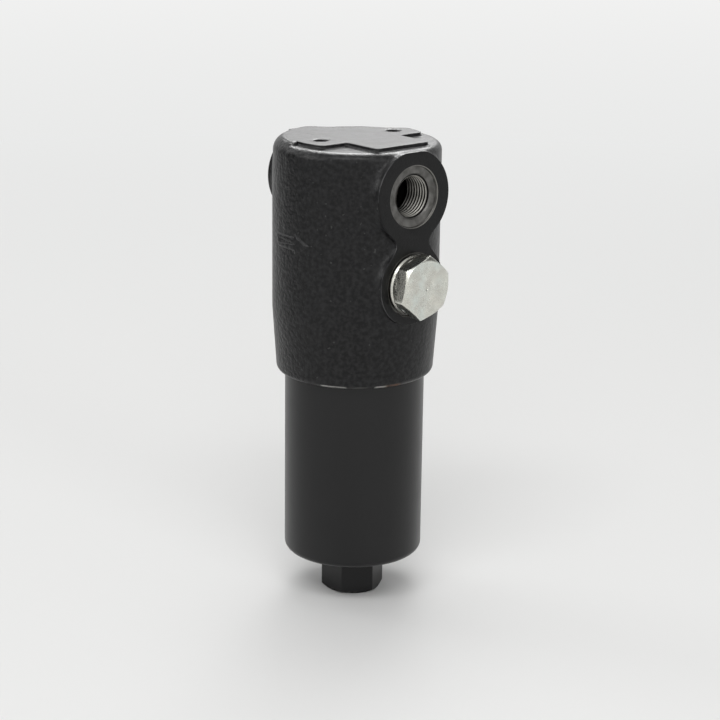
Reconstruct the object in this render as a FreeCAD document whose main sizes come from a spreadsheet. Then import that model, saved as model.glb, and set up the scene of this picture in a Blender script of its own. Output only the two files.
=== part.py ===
import FreeCAD
import Part
import Sketcher
import math
import os
import re

# In-line hydraulic filter, in millimetres.
# The axis of the bowl is Z, with its origin at the middle of the bowl's hexagon foot.
# The ports lie along X: the outlet, with the indicator plug below it, faces +X, and the inlet -X.
# Fine threads are left plain: a male thread is its root cylinder and a female thread its outer one.

SIZES = [
    # filter element
    ("element_radius", 20.5),
    ("element_stand", 7.0),
    ("cap_plate", 3.5),
    ("cap_lip_height", 3.0),
    ("cap_lip_wall", 0.9),
    ("cap_hub_height", 6.5),
    ("cap_hub_wall", 3.9),
    ("sleeve_wall", 0.4),
    ("sleeve_clearance", 0.1),
    ("media_clearance", 0.4),
    ("media_wall", 0.7),
    ("pleat_tip_half_width", 0.6),
    ("core_radius", 12.2),
    ("core_wall", 0.8),
    ("core_hole_radius", 2.0),
    ("core_hole_pitch", 14.0),
    ("sleeve_window_width", 9.0),
    ("sleeve_window_height", 12.0),
    ("sleeve_window_pitch", 17.0),
    ("clip_depth", 2.0),
    ("clip_wall", 0.3),
    ("clip_clearance", 0.17),
    # bypass valve in the element's lower cap
    ("valve_bore_radius", 7.2),
    ("valve_wall", 1.3),
    ("valve_flange_width", 2.0),
    ("valve_flange", 2.0),
    ("valve_seat_plate", 3.0),
    ("valve_seat_radius", 4.5),
    ("valve_height", 24.0),
    ("poppet_radius", 6.4),
    ("poppet_plate", 2.5),
    ("stem_radius", 1.5),
    ("stem_clearance", 0.06),
    ("stem_above_plate", 1.5),
    ("spring_space", 14.0),
    ("spring_radius", 4.4),
    ("spring_wire", 0.45),
    ("spring_turns", 6.0),
    ("spring_plate", 1.5),
    ("spring_plate_hole_radius", 1.3),
    ("circlip_height", 0.9),
    ("circlip_wall", 1.5),
    ("circlip_groove_depth", 0.7),
    ("circlip_gap", 5.0),
    ("fit_gap", 0.05),
    # bowl
    ("bowl_annulus", 6.0),
    ("bowl_height", 118.2),
    ("bowl_floor", 9.7),
    ("bowl_floor_round", 6.0),
    ("bowl_corner_round", 3.5),
    ("bowl_thread_length", 20.3),
    ("bowl_nose_length", 11.8),
    ("bowl_nose_wall", 2.05),
    ("bowl_edge_chamfer", 0.6),
    ("foot_height", 21.3),
    ("foot_across_flats", 27.0),
    ("foot_chamfer_rise", 1.4),
    # seal between bowl and head
    ("seal_space", 2.4),
    ("seal_gap", 0.02),
    ("seal_groove_rise", 4.1),
    ("seal_groove_width", 4.4),
    ("backup_ring_width", 1.4),
    ("nose_gap", 0.1),
    ("thread_lead_gap", 0.35),
    ("bowl_thread_depth", 1.3),
    ("bowl_shoulder", 1.4),
    # head casting
    ("joint_gap", 0.5),
    ("skirt_depth", 4.5),
    ("skirt_wall", 3.5),
    ("skirt_round", 3.2),
    ("taper", 2.25),
    ("taper_rise", 32.0),
    ("crown_rise", 21.1),
    ("crown_round", 5.5),
    ("annulus", 2.5),
    ("bowl_top_gap", 0.7),
    ("web", 9.1),
    ("pad_rise", 2.0),
    ("pad_half_length", 32.8),
    ("pad_half_width", 16.5),
    ("pad_arm_half_width", 11.8),
    ("pad_arm_reach", 33.0),
    ("pad_corner_round", 2.0),
    ("pad_cut_distance", 21.9),
    ("pad_cut_turn", 141.2),
    ("shoulder_step", 0.3),
    ("shoulder_round", 6.8),
    ("shoulder_start", 7.5),
    ("shoulder_back", 4.5),
    ("mounting_hole_spacing", 45.0),
    ("mounting_hole_radius", 4.0),
    ("mounting_hole_depth", 13.0),
    ("mounting_hole_chamfer", 0.4),
    # ports
    ("face_proud", 0.75),
    ("port_boss_radius", 21.9),
    ("boss_edge", 0.5),
    ("spotface_radius", 14.55),
    ("spotface_depth", 0.9),
    ("port_thread_radius", 10.48),
    ("port_mouth_chamfer", 0.6),
    ("port_thread_depth", 15.5),
    ("port_core_radius", 9.3),
    ("port_partition", 5.0),
    ("passage_half_width", 9.0),
    # indicator boss, plug and signal drillings
    ("indicator_floor", 6.8),
    ("port_spacing", 41.8),
    ("indicator_boss_radius", 19.3),
    ("boss_neck_half_width", 10.0),
    ("plug_spotface_radius", 15.1),
    ("plug_spotface_depth", 1.0),
    ("plug_thread_root", 9.3),
    ("plug_thread_depth", 9.0),
    ("plug_end_gap", 0.5),
    ("plug_nose_radius", 6.4),
    ("plug_nose_length", 3.9),
    ("plug_nose_gap", 0.1),
    ("nose_bore_depth", 5.4),
    ("nose_groove_rise", 1.0),
    ("nose_groove_width", 1.9),
    ("nose_seal_space", 1.3),
    ("plug_flange_radius", 14.2),
    ("plug_flange", 3.2),
    ("plug_across_flats", 27.0),
    ("plug_hexagon_height", 6.8),
    ("plug_hexagon_turn", 50.2),
    ("plug_chamfer_rise", 1.3),
    ("plug_centre_radius", 0.7),
    ("plug_centre_depth", 0.5),
    ("seal_ring", 1.0),
    ("seal_ring_radius", 13.4),
    ("seal_ring_bore_gap", 0.3),
    ("signal_radius", 1.0),
    ("signal_step", 0.6),
    ("dirty_signal_offset", 8.3),
    # spigot
    ("spigot_shank_radius", 8.0),
    ("spigot_shank_length", 8.0),
    ("spigot_bore_radius", 6.5),
    ("spigot_flange_width", 2.4),
    ("spigot_flange", 3.0),
    ("spigot_nose_radius", 10.0),
    ("spigot_nose_length", 16.0),
    ("spigot_clearance", 0.15),
    ("spigot_groove_drop", 2.6),
    ("spigot_groove_width", 2.2),
    ("spigot_seal_space", 1.5),
    ("element_groove_drop", 1.8),
    ("element_groove_width", 2.6),
    ("element_seal_space", 1.9),
    ("lead_in", 0.8),
    ("hub_gap", 3.0),
]

CORE_HOLE_COLUMNS = 6
SLEEVE_WINDOW_COLUMNS = 8
SPRING_PLATE_HOLES = 6
PLEATS = 28
HEXAGON_SIDES = 6
OVERSHOOT = 1.0

# Places and sizes that follow from the ones above, each an expression on the sheet.
DERIVED = [
    # radii, from the element outwards
    ("chamber_radius", "element_radius + annulus"),
    ("bowl_bore", "element_radius + bowl_annulus"),
    ("groove_floor", "bowl_bore + bowl_nose_wall"),
    ("seal_bore", "groove_floor + seal_space"),
    ("nose_radius", "seal_bore - nose_gap"),
    ("bowl_thread_root", "seal_bore + thread_lead_gap"),
    ("bowl_thread_bore", "bowl_thread_root + bowl_thread_depth"),
    ("bowl_radius", "bowl_thread_bore + bowl_shoulder"),
    ("skirt_bore", "bowl_radius + joint_gap"),
    ("skirt_radius", "skirt_bore + skirt_wall"),
    ("head_radius", "skirt_radius + taper"),
    ("port_face", "head_radius + face_proud"),
    ("foot_corner", "foot_across_flats / 2 / cos(30 deg)"),
    ("plug_corner", "plug_across_flats / 2 / cos(30 deg)"),
    ("lip_bore", "element_radius - cap_lip_wall"),
    ("sleeve_radius", "lip_bore - sleeve_clearance"),
    ("media_outer", "sleeve_radius - sleeve_wall - media_clearance"),
    ("media_inner", "core_radius + media_clearance / 2"),
    ("clip_half_width", "pleat_tip_half_width + media_wall / 2 + clip_clearance + clip_wall"),
    ("valve_radius", "valve_bore_radius + valve_wall"),
    ("hub_bore", "spigot_nose_radius + spigot_clearance"),
    ("hub_radius", "hub_bore + cap_hub_wall"),
    ("spigot_groove_floor", "spigot_shank_radius + fit_gap - spigot_seal_space"),
    ("spigot_flange_radius", "spigot_shank_radius + spigot_flange_width"),
    ("circlip_groove_radius", "valve_bore_radius + circlip_groove_depth"),
    # heights, from the foot upwards
    ("head_foot", "bowl_height - skirt_depth"),
    ("thread_top", "bowl_height + bowl_thread_length"),
    ("bowl_top", "thread_top + bowl_nose_length"),
    ("indicator_height", "bowl_top + indicator_floor + plug_nose_gap + plug_nose_radius"),
    ("port_height", "indicator_height + port_spacing"),
    ("crown", "port_height + crown_rise"),
    ("pad_top", "crown + pad_rise"),
    ("seal_start", "thread_top + bowl_thread_depth + thread_lead_gap"),
    ("groove_low", "thread_top + seal_groove_rise"),
    ("groove_high", "groove_low + seal_groove_width"),
    ("web_low", "port_height - port_core_radius - web"),
    ("hub_top", "web_low - spigot_flange - hub_gap"),
    ("top_cap_plate", "hub_top - cap_hub_height"),
    ("element_groove_high", "hub_top - element_groove_drop"),
    ("element_groove_low", "element_groove_high - element_groove_width"),
    ("spigot_flange_low", "web_low - spigot_flange"),
    ("spigot_end", "spigot_flange_low - spigot_nose_length"),
    ("spigot_top", "web_low + spigot_shank_length"),
    ("spigot_groove_low", "web_low + spigot_groove_drop"),
    ("spigot_groove_high", "spigot_groove_low + spigot_groove_width"),
    ("media_top", "top_cap_plate - cap_plate"),
    ("inner_floor", "foot_height + bowl_floor"),
    ("valve_foot", "inner_floor + element_stand"),
    ("bottom_cap_plate", "valve_foot + valve_flange"),
    ("media_low", "bottom_cap_plate + cap_plate"),
    ("seat_height", "valve_foot + valve_seat_plate"),
    ("poppet_top", "seat_height + poppet_plate"),
    ("spring_top", "poppet_top + spring_space"),
    ("circlip_low", "spring_top + spring_plate"),
    ("circlip_high", "circlip_low + circlip_height"),
    ("valve_top", "valve_foot + valve_height"),
    ("backup_ring_low", "groove_low + fit_gap"),
    ("backup_ring_high", "backup_ring_low + backup_ring_width"),
    # places along the ports, outwards from the axis
    ("port_floor", "port_face - spotface_depth"),
    ("plug_seat", "port_face - plug_spotface_depth"),
    ("plug_flange_face", "plug_seat + seal_ring"),
    ("plug_hexagon_face", "plug_flange_face + plug_flange"),
    ("plug_end", "plug_hexagon_face + plug_hexagon_height"),
    ("plug_shoulder", "plug_seat - plug_thread_depth + plug_end_gap"),
    ("plug_nose_end", "plug_shoulder - plug_nose_length"),
    ("nose_groove_start", "plug_nose_end + nose_groove_rise"),
    ("nose_groove_end", "nose_groove_start + nose_groove_width"),
    ("nose_groove_floor", "plug_nose_radius + plug_nose_gap - nose_seal_space"),
    ("seal_ring_bore", "port_thread_radius + port_mouth_chamfer + seal_ring_bore_gap"),
    ("nose_bore_start", "plug_seat - plug_thread_depth"),
    ("nose_bore_end", "nose_bore_start - nose_bore_depth"),
    ("clean_signal_place", "nose_bore_end + signal_radius + signal_step"),
    ("inlet_end", "spigot_shank_radius + port_partition"),
]

doc = FreeCAD.newDocument("hydraulic_filter")
sheet = doc.addObject("Spreadsheet::Sheet", "Sizes")
WORDS = set()


def bound(text):
    """The expression with each size named by its cell in the sheet."""
    return re.sub(
        r"[a-z_]+",
        lambda word: "Sizes." + word.group() if word.group() in WORDS else word.group(),
        text,
    )


def value(text):
    """The number that an expression on the sizes comes to."""
    return float(sheet.evalExpression(bound(text)))


def fill_sheet():
    """Driving sizes as plain numbers, then the sizes that follow from them as formulas."""
    for row, (word, number) in enumerate(SIZES, 1):
        sheet.set(f"A{row}", word)
        sheet.set(f"B{row}", str(number))
        sheet.setAlias(f"B{row}", word)
    for row, (word, formula) in enumerate(DERIVED, len(SIZES) + 1):
        sheet.set(f"A{row}", word)
        sheet.set(f"B{row}", "=" + formula)
        sheet.setAlias(f"B{row}", word)
    WORDS.update(word for word, _ in SIZES + DERIVED)
    doc.recompute()


def own_datum(body, role):
    """One of a body's own origin planes or axes."""
    return next(item for item in body.Origin.OriginFeatures if item.Role == role)


def place(item, across="0", along="0", up="0", turn=None):
    """Binds an object's place, with a fixed turn of its own axes."""
    if turn is not None:
        item.Placement = FreeCAD.Placement(FreeCAD.Vector(), turn)
    item.setExpression("Placement.Base.x", bound(across))
    item.setExpression("Placement.Base.y", bound(along))
    item.setExpression("Placement.Base.z", bound(up))
    return item


def outline(body, label, points, role="XZ_Plane"):
    """A closed sketch of straight lines, each corner bound to two expressions (across, up)."""
    sketch = body.newObject("Sketcher::SketchObject", label)
    sketch.AttachmentSupport = [(own_datum(body, role), "")]
    sketch.MapMode = "FlatFace"
    corners = [(value(across), value(up)) for across, up in points]
    count = len(points)
    for index, corner in enumerate(corners):
        following = corners[(index + 1) % count]
        sketch.addGeometry(Part.LineSegment(FreeCAD.Vector(*corner, 0), FreeCAD.Vector(*following, 0)))
    for index in range(count):
        sketch.addConstraint(Sketcher.Constraint("Coincident", index, 2, (index + 1) % count, 1))
    for index, (across, up) in enumerate(points):
        for direction, text, number in (("DistanceX", across, corners[index][0]),
                                        ("DistanceY", up, corners[index][1])):
            if text == "0":
                axis = -2 if direction == "DistanceX" else -1
                sketch.addConstraint(Sketcher.Constraint("PointOnObject", index, 1, axis))
                continue
            made = sketch.addConstraint(Sketcher.Constraint(direction, -1, 1, index, 1, number))
            sketch.setExpression(f"Constraints[{made}]", bound(text))
    return sketch


def turned(label, points):
    """A body turned about its own Z from an outline of (radius, height)."""
    body = doc.addObject("PartDesign::Body", label)
    sketch = outline(body, label + "_outline", points)
    solid = body.newObject("PartDesign::Revolution", label + "_turning")
    solid.Profile = sketch
    solid.ReferenceAxis = (sketch, ["V_Axis"])
    solid.Angle = 360
    doc.recompute()
    return body


def turn_off(body, label, points):
    """Cuts a turned ring, an outline of (radius, height), from a body."""
    before = body.Shape.Volume
    sketch = outline(body, label + "_outline", points)
    cut = body.newObject("PartDesign::Groove", label)
    cut.Profile = sketch
    cut.ReferenceAxis = (sketch, ["V_Axis"])
    cut.Angle = 360
    doc.recompute()
    if body.Shape.Volume >= before:
        raise RuntimeError(label + " cuts nothing")


def hexagon(body, label, corner, low, height, turn="0"):
    """Adds a hexagonal prism about the body's own Z."""
    prism = body.newObject("PartDesign::AdditivePrism", label)
    prism.Polygon = HEXAGON_SIDES
    prism.AttachmentSupport = [(own_datum(body, "XY_Plane"), "")]
    prism.MapMode = "FlatFace"
    prism.setExpression("Circumradius", bound(corner))
    prism.setExpression("Height", bound(height))
    about_z = FreeCAD.Rotation(FreeCAD.Vector(0, 0, 1), 1)
    prism.AttachmentOffset = FreeCAD.Placement(FreeCAD.Vector(), about_z)
    prism.setExpression("AttachmentOffset.Base.z", bound(low))
    prism.setExpression("AttachmentOffset.Rotation.Angle", bound(turn))
    doc.recompute()


def rings(shape, wanted):
    """The names of the round edges about Z at the wanted (radius, height) places."""
    names = []
    places = [(value(radius), value(height)) for radius, height in wanted]
    for number, edge in enumerate(shape.Edges, 1):
        curve = edge.Curve
        if not isinstance(curve, Part.Circle):
            continue
        for radius, height in places:
            if math.hypot(curve.Radius - radius, curve.Center.z - height) < 1e-4:
                names.append(f"Edge{number}")
    return names


def round_rings(body, label, radius, wanted):
    """Rounds the round edges of a body at the wanted (radius, height) places."""
    base = body.Tip
    fillet = body.newObject("PartDesign::Fillet", label)
    fillet.Base = (base, rings(base.Shape, wanted))
    fillet.setExpression("Radius", bound(radius))
    doc.recompute()


def cylinder(label, radius, height):
    """A plain cylinder standing on its own origin."""
    item = doc.addObject("Part::Cylinder", label)
    item.setExpression("Radius", bound(radius))
    item.setExpression("Height", bound(height))
    return item


def block(label, length, width, height):
    """A plain block with its low corner at its own origin."""
    item = doc.addObject("Part::Box", label)
    item.setExpression("Length", bound(length))
    item.setExpression("Width", bound(width))
    item.setExpression("Height", bound(height))
    return item


def fused(label, items):
    """The items joined in one shape."""
    item = doc.addObject("Part::MultiFuse", label)
    item.Shapes = items
    item.Refine = True
    doc.recompute()
    return item


def ring_seal(label, inner, space, up="0"):
    """An O-ring that fills a radial space outside an inner radius, but for a small gap."""
    item = doc.addObject("Part::Torus", label)
    item.setExpression("Radius1", bound(f"{inner} + {space} / 2"))
    item.setExpression("Radius2", bound(f"{space} / 2 - seal_gap"))
    return place(item, up=up)


TO_PLUS_X = FreeCAD.Rotation(FreeCAD.Vector(0, 1, 0), 90)
TO_MINUS_X = FreeCAD.Rotation(FreeCAD.Vector(0, 1, 0), -90)


def boss(label, radius):
    """A round boss from the middle of the head to a port face, standing on Z, with its rim broken."""
    return turned(label, [
        ("0", "0"),
        (radius, "0"),
        (radius, "port_face - boss_edge"),
        (f"{radius} - boss_edge", "port_face"),
        ("0", "port_face"),
    ])


def head_outside():
    """The casting's outer form: tapered barrel, two port bosses, indicator boss and neck."""
    barrel = turned("barrel", [
        ("0", "head_foot"),
        ("skirt_radius", "head_foot"),
        ("head_radius", "head_foot + taper_rise"),
        ("head_radius", "crown"),
        ("0", "crown"),
    ])
    round_rings(barrel, "crown_rim", "crown_round", [("head_radius", "crown")])
    round_rings(barrel, "skirt_rim", "skirt_round", [("skirt_radius", "head_foot")])
    outlet_boss = place(boss("outlet_boss", "port_boss_radius"), up="port_height", turn=TO_PLUS_X)
    inlet_boss = place(boss("inlet_boss", "port_boss_radius"), up="port_height", turn=TO_MINUS_X)
    indicator_boss = place(boss("indicator_boss", "indicator_boss_radius"), up="indicator_height",
                           turn=TO_PLUS_X)
    neck = place(block("boss_neck", "port_face", "2 * boss_neck_half_width", "port_spacing"),
                 along="-boss_neck_half_width", up="indicator_height")
    bosses = fused("bosses", [outlet_boss, inlet_boss, indicator_boss, neck])
    below_crown = place(block("below_crown", "2 * port_face", "2 * port_face", "crown"),
                        across="-port_face", along="-port_face")
    trimmed = doc.addObject("Part::Common", "trimmed_bosses")
    trimmed.Base = bosses
    trimmed.Tool = below_crown
    return fused("rough_casting", [barrel, trimmed])


def raised_shoulder():
    """The quarter of the crown that the casting raises to the pad's level, beside its front arm."""
    ring = turned("shoulder_ring", [
        ("0", "crown - crown_round"),
        ("head_radius - shoulder_step", "crown - crown_round"),
        ("head_radius - shoulder_step", "pad_top"),
        ("0", "pad_top"),
    ])
    round_rings(ring, "shoulder_rim", "shoulder_round", [("head_radius - shoulder_step", "pad_top")])
    quarter = place(block("shoulder_quarter", "head_radius", "head_radius + shoulder_back", "pad_top"),
                    across="-shoulder_start - head_radius", along="-head_radius")
    shoulder = doc.addObject("Part::Common", "raised_shoulder")
    shoulder.Base = ring
    shoulder.Tool = quarter
    return shoulder


def head_pad():
    """The machined cross on top, one far corner of which is cut off straight."""
    pad_foot = "crown - crown_round"
    pad_height = "pad_rise + crown_round"
    bar = place(block("pad_bar", "2 * pad_half_length", "2 * pad_half_width", pad_height),
                across="-pad_half_length", along="-pad_half_width", up=pad_foot)
    disc = place(cylinder("pad_disc", "pad_arm_reach", pad_height), up=pad_foot)
    strip = place(block("pad_strip", "2 * pad_arm_half_width", "2 * pad_arm_reach", pad_height),
                  across="-pad_arm_half_width", along="-pad_arm_reach", up=pad_foot)
    arms = doc.addObject("Part::Common", "pad_arms")
    arms.Base = disc
    arms.Tool = strip
    whole = fused("pad_whole", [bar, arms])
    beyond = place(block("pad_corner_block", "pad_half_length", "2 * pad_half_length", pad_height),
                   across="pad_cut_distance * cos(pad_cut_turn * 1 deg)"
                          " + pad_half_length * sin(pad_cut_turn * 1 deg)",
                   along="pad_cut_distance * sin(pad_cut_turn * 1 deg)"
                         " - pad_half_length * cos(pad_cut_turn * 1 deg)",
                   up=pad_foot, turn=FreeCAD.Rotation(FreeCAD.Vector(0, 0, 1), 1))
    beyond.setExpression("Placement.Rotation.Angle", bound("pad_cut_turn"))
    cross = doc.addObject("Part::Cut", "pad_cross")
    cross.Base = whole
    cross.Tool = beyond
    doc.recompute()
    rounded = doc.addObject("Part::Fillet", "pad")
    rounded.Base = cross
    radius = value("pad_corner_round")
    upright = [number for number, edge in enumerate(cross.Shape.Edges, 1)
               if isinstance(edge.Curve, Part.Line) and abs(edge.tangentAt(edge.FirstParameter).z) > 0.99]
    rounded.Edges = [(number, radius, radius) for number in upright]
    doc.recompute()
    return rounded


def threaded_mouth(label, floor, depth, core, end, spot_radius, spot_depth):
    """A port cut along its own Z: spotface, chamfered mouth, thread, then a plain bore to its end."""
    return turned(label, [
        ("0", end),
        (core, end),
        (core, f"{floor} - {depth}"),
        ("port_thread_radius", f"{floor} - {depth}"),
        ("port_thread_radius", f"{floor} - port_mouth_chamfer"),
        ("port_thread_radius + port_mouth_chamfer", floor),
        (spot_radius, floor),
        (spot_radius, f"{floor} + {spot_depth} + face_proud"),
        ("0", f"{floor} + {spot_depth} + face_proud"),
    ])


def head_inside():
    """Everything that is bored or cored out of the casting."""
    cavity = turned("cavity", [
        ("0", f"head_foot - {OVERSHOOT}"),
        ("skirt_bore", f"head_foot - {OVERSHOOT}"),
        ("skirt_bore", "bowl_height"),
        ("bowl_thread_bore", "bowl_height"),
        ("bowl_thread_bore", "thread_top"),
        ("seal_bore", "seal_start"),
        ("seal_bore", "bowl_top + bowl_top_gap"),
        ("chamber_radius", "bowl_top + bowl_top_gap"),
        ("chamber_radius", "web_low"),
        ("0", "web_low"),
    ])
    outlet = threaded_mouth("outlet_bore", "port_floor", "port_thread_depth", "port_core_radius",
                            "-spigot_shank_radius", "spotface_radius", "spotface_depth")
    place(outlet, up="port_height", turn=TO_PLUS_X)
    inlet = threaded_mouth("inlet_bore", "port_floor", "port_thread_depth", "port_core_radius",
                           "inlet_end", "spotface_radius", "spotface_depth")
    place(inlet, up="port_height", turn=TO_MINUS_X)
    indicator = threaded_mouth("indicator_bore", "plug_seat", "plug_thread_depth",
                               "plug_nose_radius + plug_nose_gap", "nose_bore_end",
                               "plug_spotface_radius", "plug_spotface_depth")
    place(indicator, up="indicator_height", turn=TO_PLUS_X)
    passage_foot = f"web_low - {OVERSHOOT}"
    passage_height = f"port_height - web_low + {OVERSHOOT}"
    spigot_bore = place(cylinder("spigot_bore", "spigot_shank_radius + fit_gap", passage_height),
                        up=passage_foot)
    passage_round = place(cylinder("passage_round", "chamber_radius - fit_gap", passage_height),
                          up=passage_foot)
    passage_block = place(block("passage_block", "chamber_radius", "2 * passage_half_width",
                                passage_height),
                          across="-inlet_end - chamber_radius", along="-passage_half_width",
                          up=passage_foot)
    passage = doc.addObject("Part::Common", "inlet_passage")
    passage.Base = passage_round
    passage.Tool = passage_block
    clean_signal = place(cylinder("clean_signal", "signal_radius", "port_spacing"),
                         across="clean_signal_place", up="indicator_height")
    dirty_signal = place(cylinder("dirty_signal", "signal_radius", "nose_bore_start"),
                         along="dirty_signal_offset", up="indicator_height", turn=TO_PLUS_X)
    holes = []
    for side, sign in (("front", "-"), ("back", "")):
        hole = turned("mounting_hole_" + side, [
            ("0", "pad_top - mounting_hole_depth"),
            ("mounting_hole_radius", "pad_top - mounting_hole_depth"),
            ("mounting_hole_radius", "pad_top - mounting_hole_chamfer"),
            ("mounting_hole_radius + mounting_hole_chamfer", "pad_top"),
            ("mounting_hole_radius + mounting_hole_chamfer", f"pad_top + {OVERSHOOT}"),
            ("0", f"pad_top + {OVERSHOOT}"),
        ])
        holes.append(place(hole, along=sign + "mounting_hole_spacing / 2"))
    return fused("hollows", [cavity, outlet, inlet, indicator, spigot_bore, passage,
                             clean_signal, dirty_signal] + holes)


def head_casting():
    """The head: the rounded outer form and its pad, less its hollows."""
    solid = fused("solid_head", [head_outside(), raised_shoulder(), head_pad()])
    head = doc.addObject("Part::Cut", "head_casting")
    head.Base = solid
    head.Tool = head_inside()
    return head


def bowl():
    """The bowl: closed tube with a thread and a seal nose above, and a hexagon foot below."""
    body = turned("bowl", [
        ("0", "foot_height"),
        ("bowl_radius", "foot_height"),
        ("bowl_radius", "bowl_height"),
        ("bowl_thread_root", "bowl_height"),
        ("bowl_thread_root", "thread_top - bowl_edge_chamfer"),
        ("nose_radius", "thread_top"),
        ("nose_radius", "groove_low"),
        ("groove_floor", "groove_low"),
        ("groove_floor", "groove_high"),
        ("nose_radius", "groove_high"),
        ("nose_radius", "bowl_top - bowl_edge_chamfer"),
        ("nose_radius - bowl_edge_chamfer", "bowl_top"),
        ("bowl_bore + bowl_edge_chamfer", "bowl_top"),
        ("bowl_bore", "bowl_top - bowl_edge_chamfer"),
        ("bowl_bore", "inner_floor"),
        ("0", "inner_floor"),
    ])
    round_rings(body, "bowl_corner", "bowl_corner_round", [("bowl_radius", "foot_height")])
    round_rings(body, "floor_corner", "bowl_floor_round", [("bowl_bore", "inner_floor")])
    hexagon(body, "foot", "foot_corner", "0", "foot_height")
    turn_off(body, "foot_chamfer", [
        ("foot_corner - foot_chamfer_rise / tan(30 deg)", "0"),
        (f"foot_corner + {OVERSHOOT}", "0"),
        (f"foot_corner + {OVERSHOOT}", "foot_chamfer_rise"),
        ("foot_corner", "foot_chamfer_rise"),
    ])
    return body


def bowl_seals():
    """The O-ring and its backup ring in the groove of the bowl's nose."""
    ring_seal("bowl_o_ring", "groove_floor", "seal_space",
              "groove_high - seal_space / 2 - fit_gap")
    turned("bowl_backup_ring", [
        ("groove_floor + seal_gap", "backup_ring_low"),
        ("nose_radius", "backup_ring_low"),
        ("nose_radius", "backup_ring_high"),
        ("groove_floor + seal_gap", "backup_ring_high"),
    ])


def spigot():
    """The turned spigot in the head's web, and its seal."""
    turned("outlet_spigot", [
        ("spigot_bore_radius", "spigot_end"),
        ("spigot_nose_radius - lead_in", "spigot_end"),
        ("spigot_nose_radius", "spigot_end + lead_in"),
        ("spigot_nose_radius", "spigot_flange_low"),
        ("spigot_flange_radius", "spigot_flange_low"),
        ("spigot_flange_radius", "web_low"),
        ("spigot_shank_radius", "web_low"),
        ("spigot_shank_radius", "spigot_groove_low"),
        ("spigot_groove_floor", "spigot_groove_low"),
        ("spigot_groove_floor", "spigot_groove_high"),
        ("spigot_shank_radius", "spigot_groove_high"),
        ("spigot_shank_radius", "spigot_top"),
        ("spigot_bore_radius - spigot_seal_space", "spigot_top"),
        ("spigot_bore_radius - spigot_seal_space", "web_low"),
        ("spigot_bore_radius", "spigot_flange_low"),
    ])
    ring_seal("spigot_seal", "spigot_groove_floor", "spigot_seal_space",
              "(spigot_groove_low + spigot_groove_high) / 2")


def element_caps():
    """The two end caps, each with an outer lip round the sleeve, and the seal in the upper hub."""
    turned("element_top_cap", [
        ("hub_bore", "media_top"),
        ("lip_bore", "media_top"),
        ("lip_bore", "media_top - cap_lip_height"),
        ("element_radius", "media_top - cap_lip_height"),
        ("element_radius", "top_cap_plate"),
        ("hub_radius", "top_cap_plate"),
        ("hub_radius", "hub_top"),
        ("hub_bore + lead_in", "hub_top"),
        ("hub_bore", "hub_top - lead_in"),
        ("hub_bore", "element_groove_high"),
        ("spigot_nose_radius + element_seal_space", "element_groove_high"),
        ("spigot_nose_radius + element_seal_space", "element_groove_low"),
        ("hub_bore", "element_groove_low"),
    ])
    ring_seal("element_o_ring", "spigot_nose_radius", "element_seal_space",
              "(element_groove_low + element_groove_high) / 2")
    turned("element_bottom_cap", [
        ("valve_radius + fit_gap", "bottom_cap_plate"),
        ("element_radius", "bottom_cap_plate"),
        ("element_radius", "media_low + cap_lip_height"),
        ("lip_bore", "media_low + cap_lip_height"),
        ("lip_bore", "media_low"),
        ("valve_radius + fit_gap", "media_low"),
    ])


def perforated(label, outer, wall, pitch, columns, bar):
    """A tube between the caps, pierced right through by bars at an even pitch."""
    tube = turned(label + "_tube", [
        (f"{outer} - {wall}", "media_low"),
        (outer, "media_low"),
        (outer, "media_top"),
        (f"{outer} - {wall}", "media_top"),
    ])
    length = value("media_top - media_low")
    step = value(pitch)
    rows = int(length / step)
    first = value("media_low") + (length - step * (rows - 1)) / 2
    bars = []
    for row in range(rows):
        for column in range(columns // 2):
            turn = FreeCAD.Rotation(FreeCAD.Vector(0, 0, 1), 360 * column / columns)
            piece = bar.copy()
            piece.Placement = FreeCAD.Placement(FreeCAD.Vector(0, 0, first + row * step), turn)
            bars.append(piece)
    openings = doc.addObject("Part::Feature", label + "_openings")
    openings.Shape = Part.makeCompound(bars)
    item = doc.addObject("Part::Cut", label)
    item.Base = tube
    item.Tool = openings


def core_hole():
    """A round bar along X, centred on the axis, as wide as a hole of the core tube."""
    reach = value("core_radius") + OVERSHOOT
    start = FreeCAD.Vector(-reach, 0, 0)
    return Part.makeCylinder(value("core_hole_radius"), 2 * reach, start, FreeCAD.Vector(1, 0, 0))


def sleeve_window():
    """A square bar along X, centred on the axis, as wide and high as a window of the sleeve."""
    reach = value("sleeve_radius") + OVERSHOOT
    width = value("sleeve_window_width")
    height = value("sleeve_window_height")
    corner = FreeCAD.Vector(-reach, -width / 2, -height / 2)
    return Part.makeBox(2 * reach, width, height, corner)


def offset_loop(points, distance):
    """A closed loop of corners moved outwards by a distance, its corners mitred."""
    moved = []
    for index, point in enumerate(points):
        before = (point - points[index - 1]).normalize()
        after = (points[(index + 1) % len(points)] - point).normalize()
        normals = [FreeCAD.Vector(side.y, -side.x, 0) for side in (before, after)]
        both = normals[0] + normals[1]
        moved.append(point + both * (distance / (1 + normals[0].dot(normals[1]))))
    return Part.Face(Part.makePolygon(moved + moved[:1]))


def pleat_corners():
    """The middle line of the folded sheet: flat-tipped pleats, the first one centred on +X."""
    half = value("media_wall") / 2
    outer = value("media_outer") - half
    inner = value("media_inner") + half
    outer_turn = value("pleat_tip_half_width") / outer
    inner_turn = math.pi / PLEATS - value("pleat_tip_half_width") / inner
    corners = []
    for pleat in range(PLEATS):
        middle = 2 * math.pi * pleat / PLEATS
        for radius, turn in ((inner, -inner_turn), (outer, -outer_turn),
                             (outer, outer_turn), (inner, inner_turn)):
            angle = middle + turn
            corners.append(FreeCAD.Vector(radius * math.cos(angle), radius * math.sin(angle), 0))
    return corners


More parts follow.
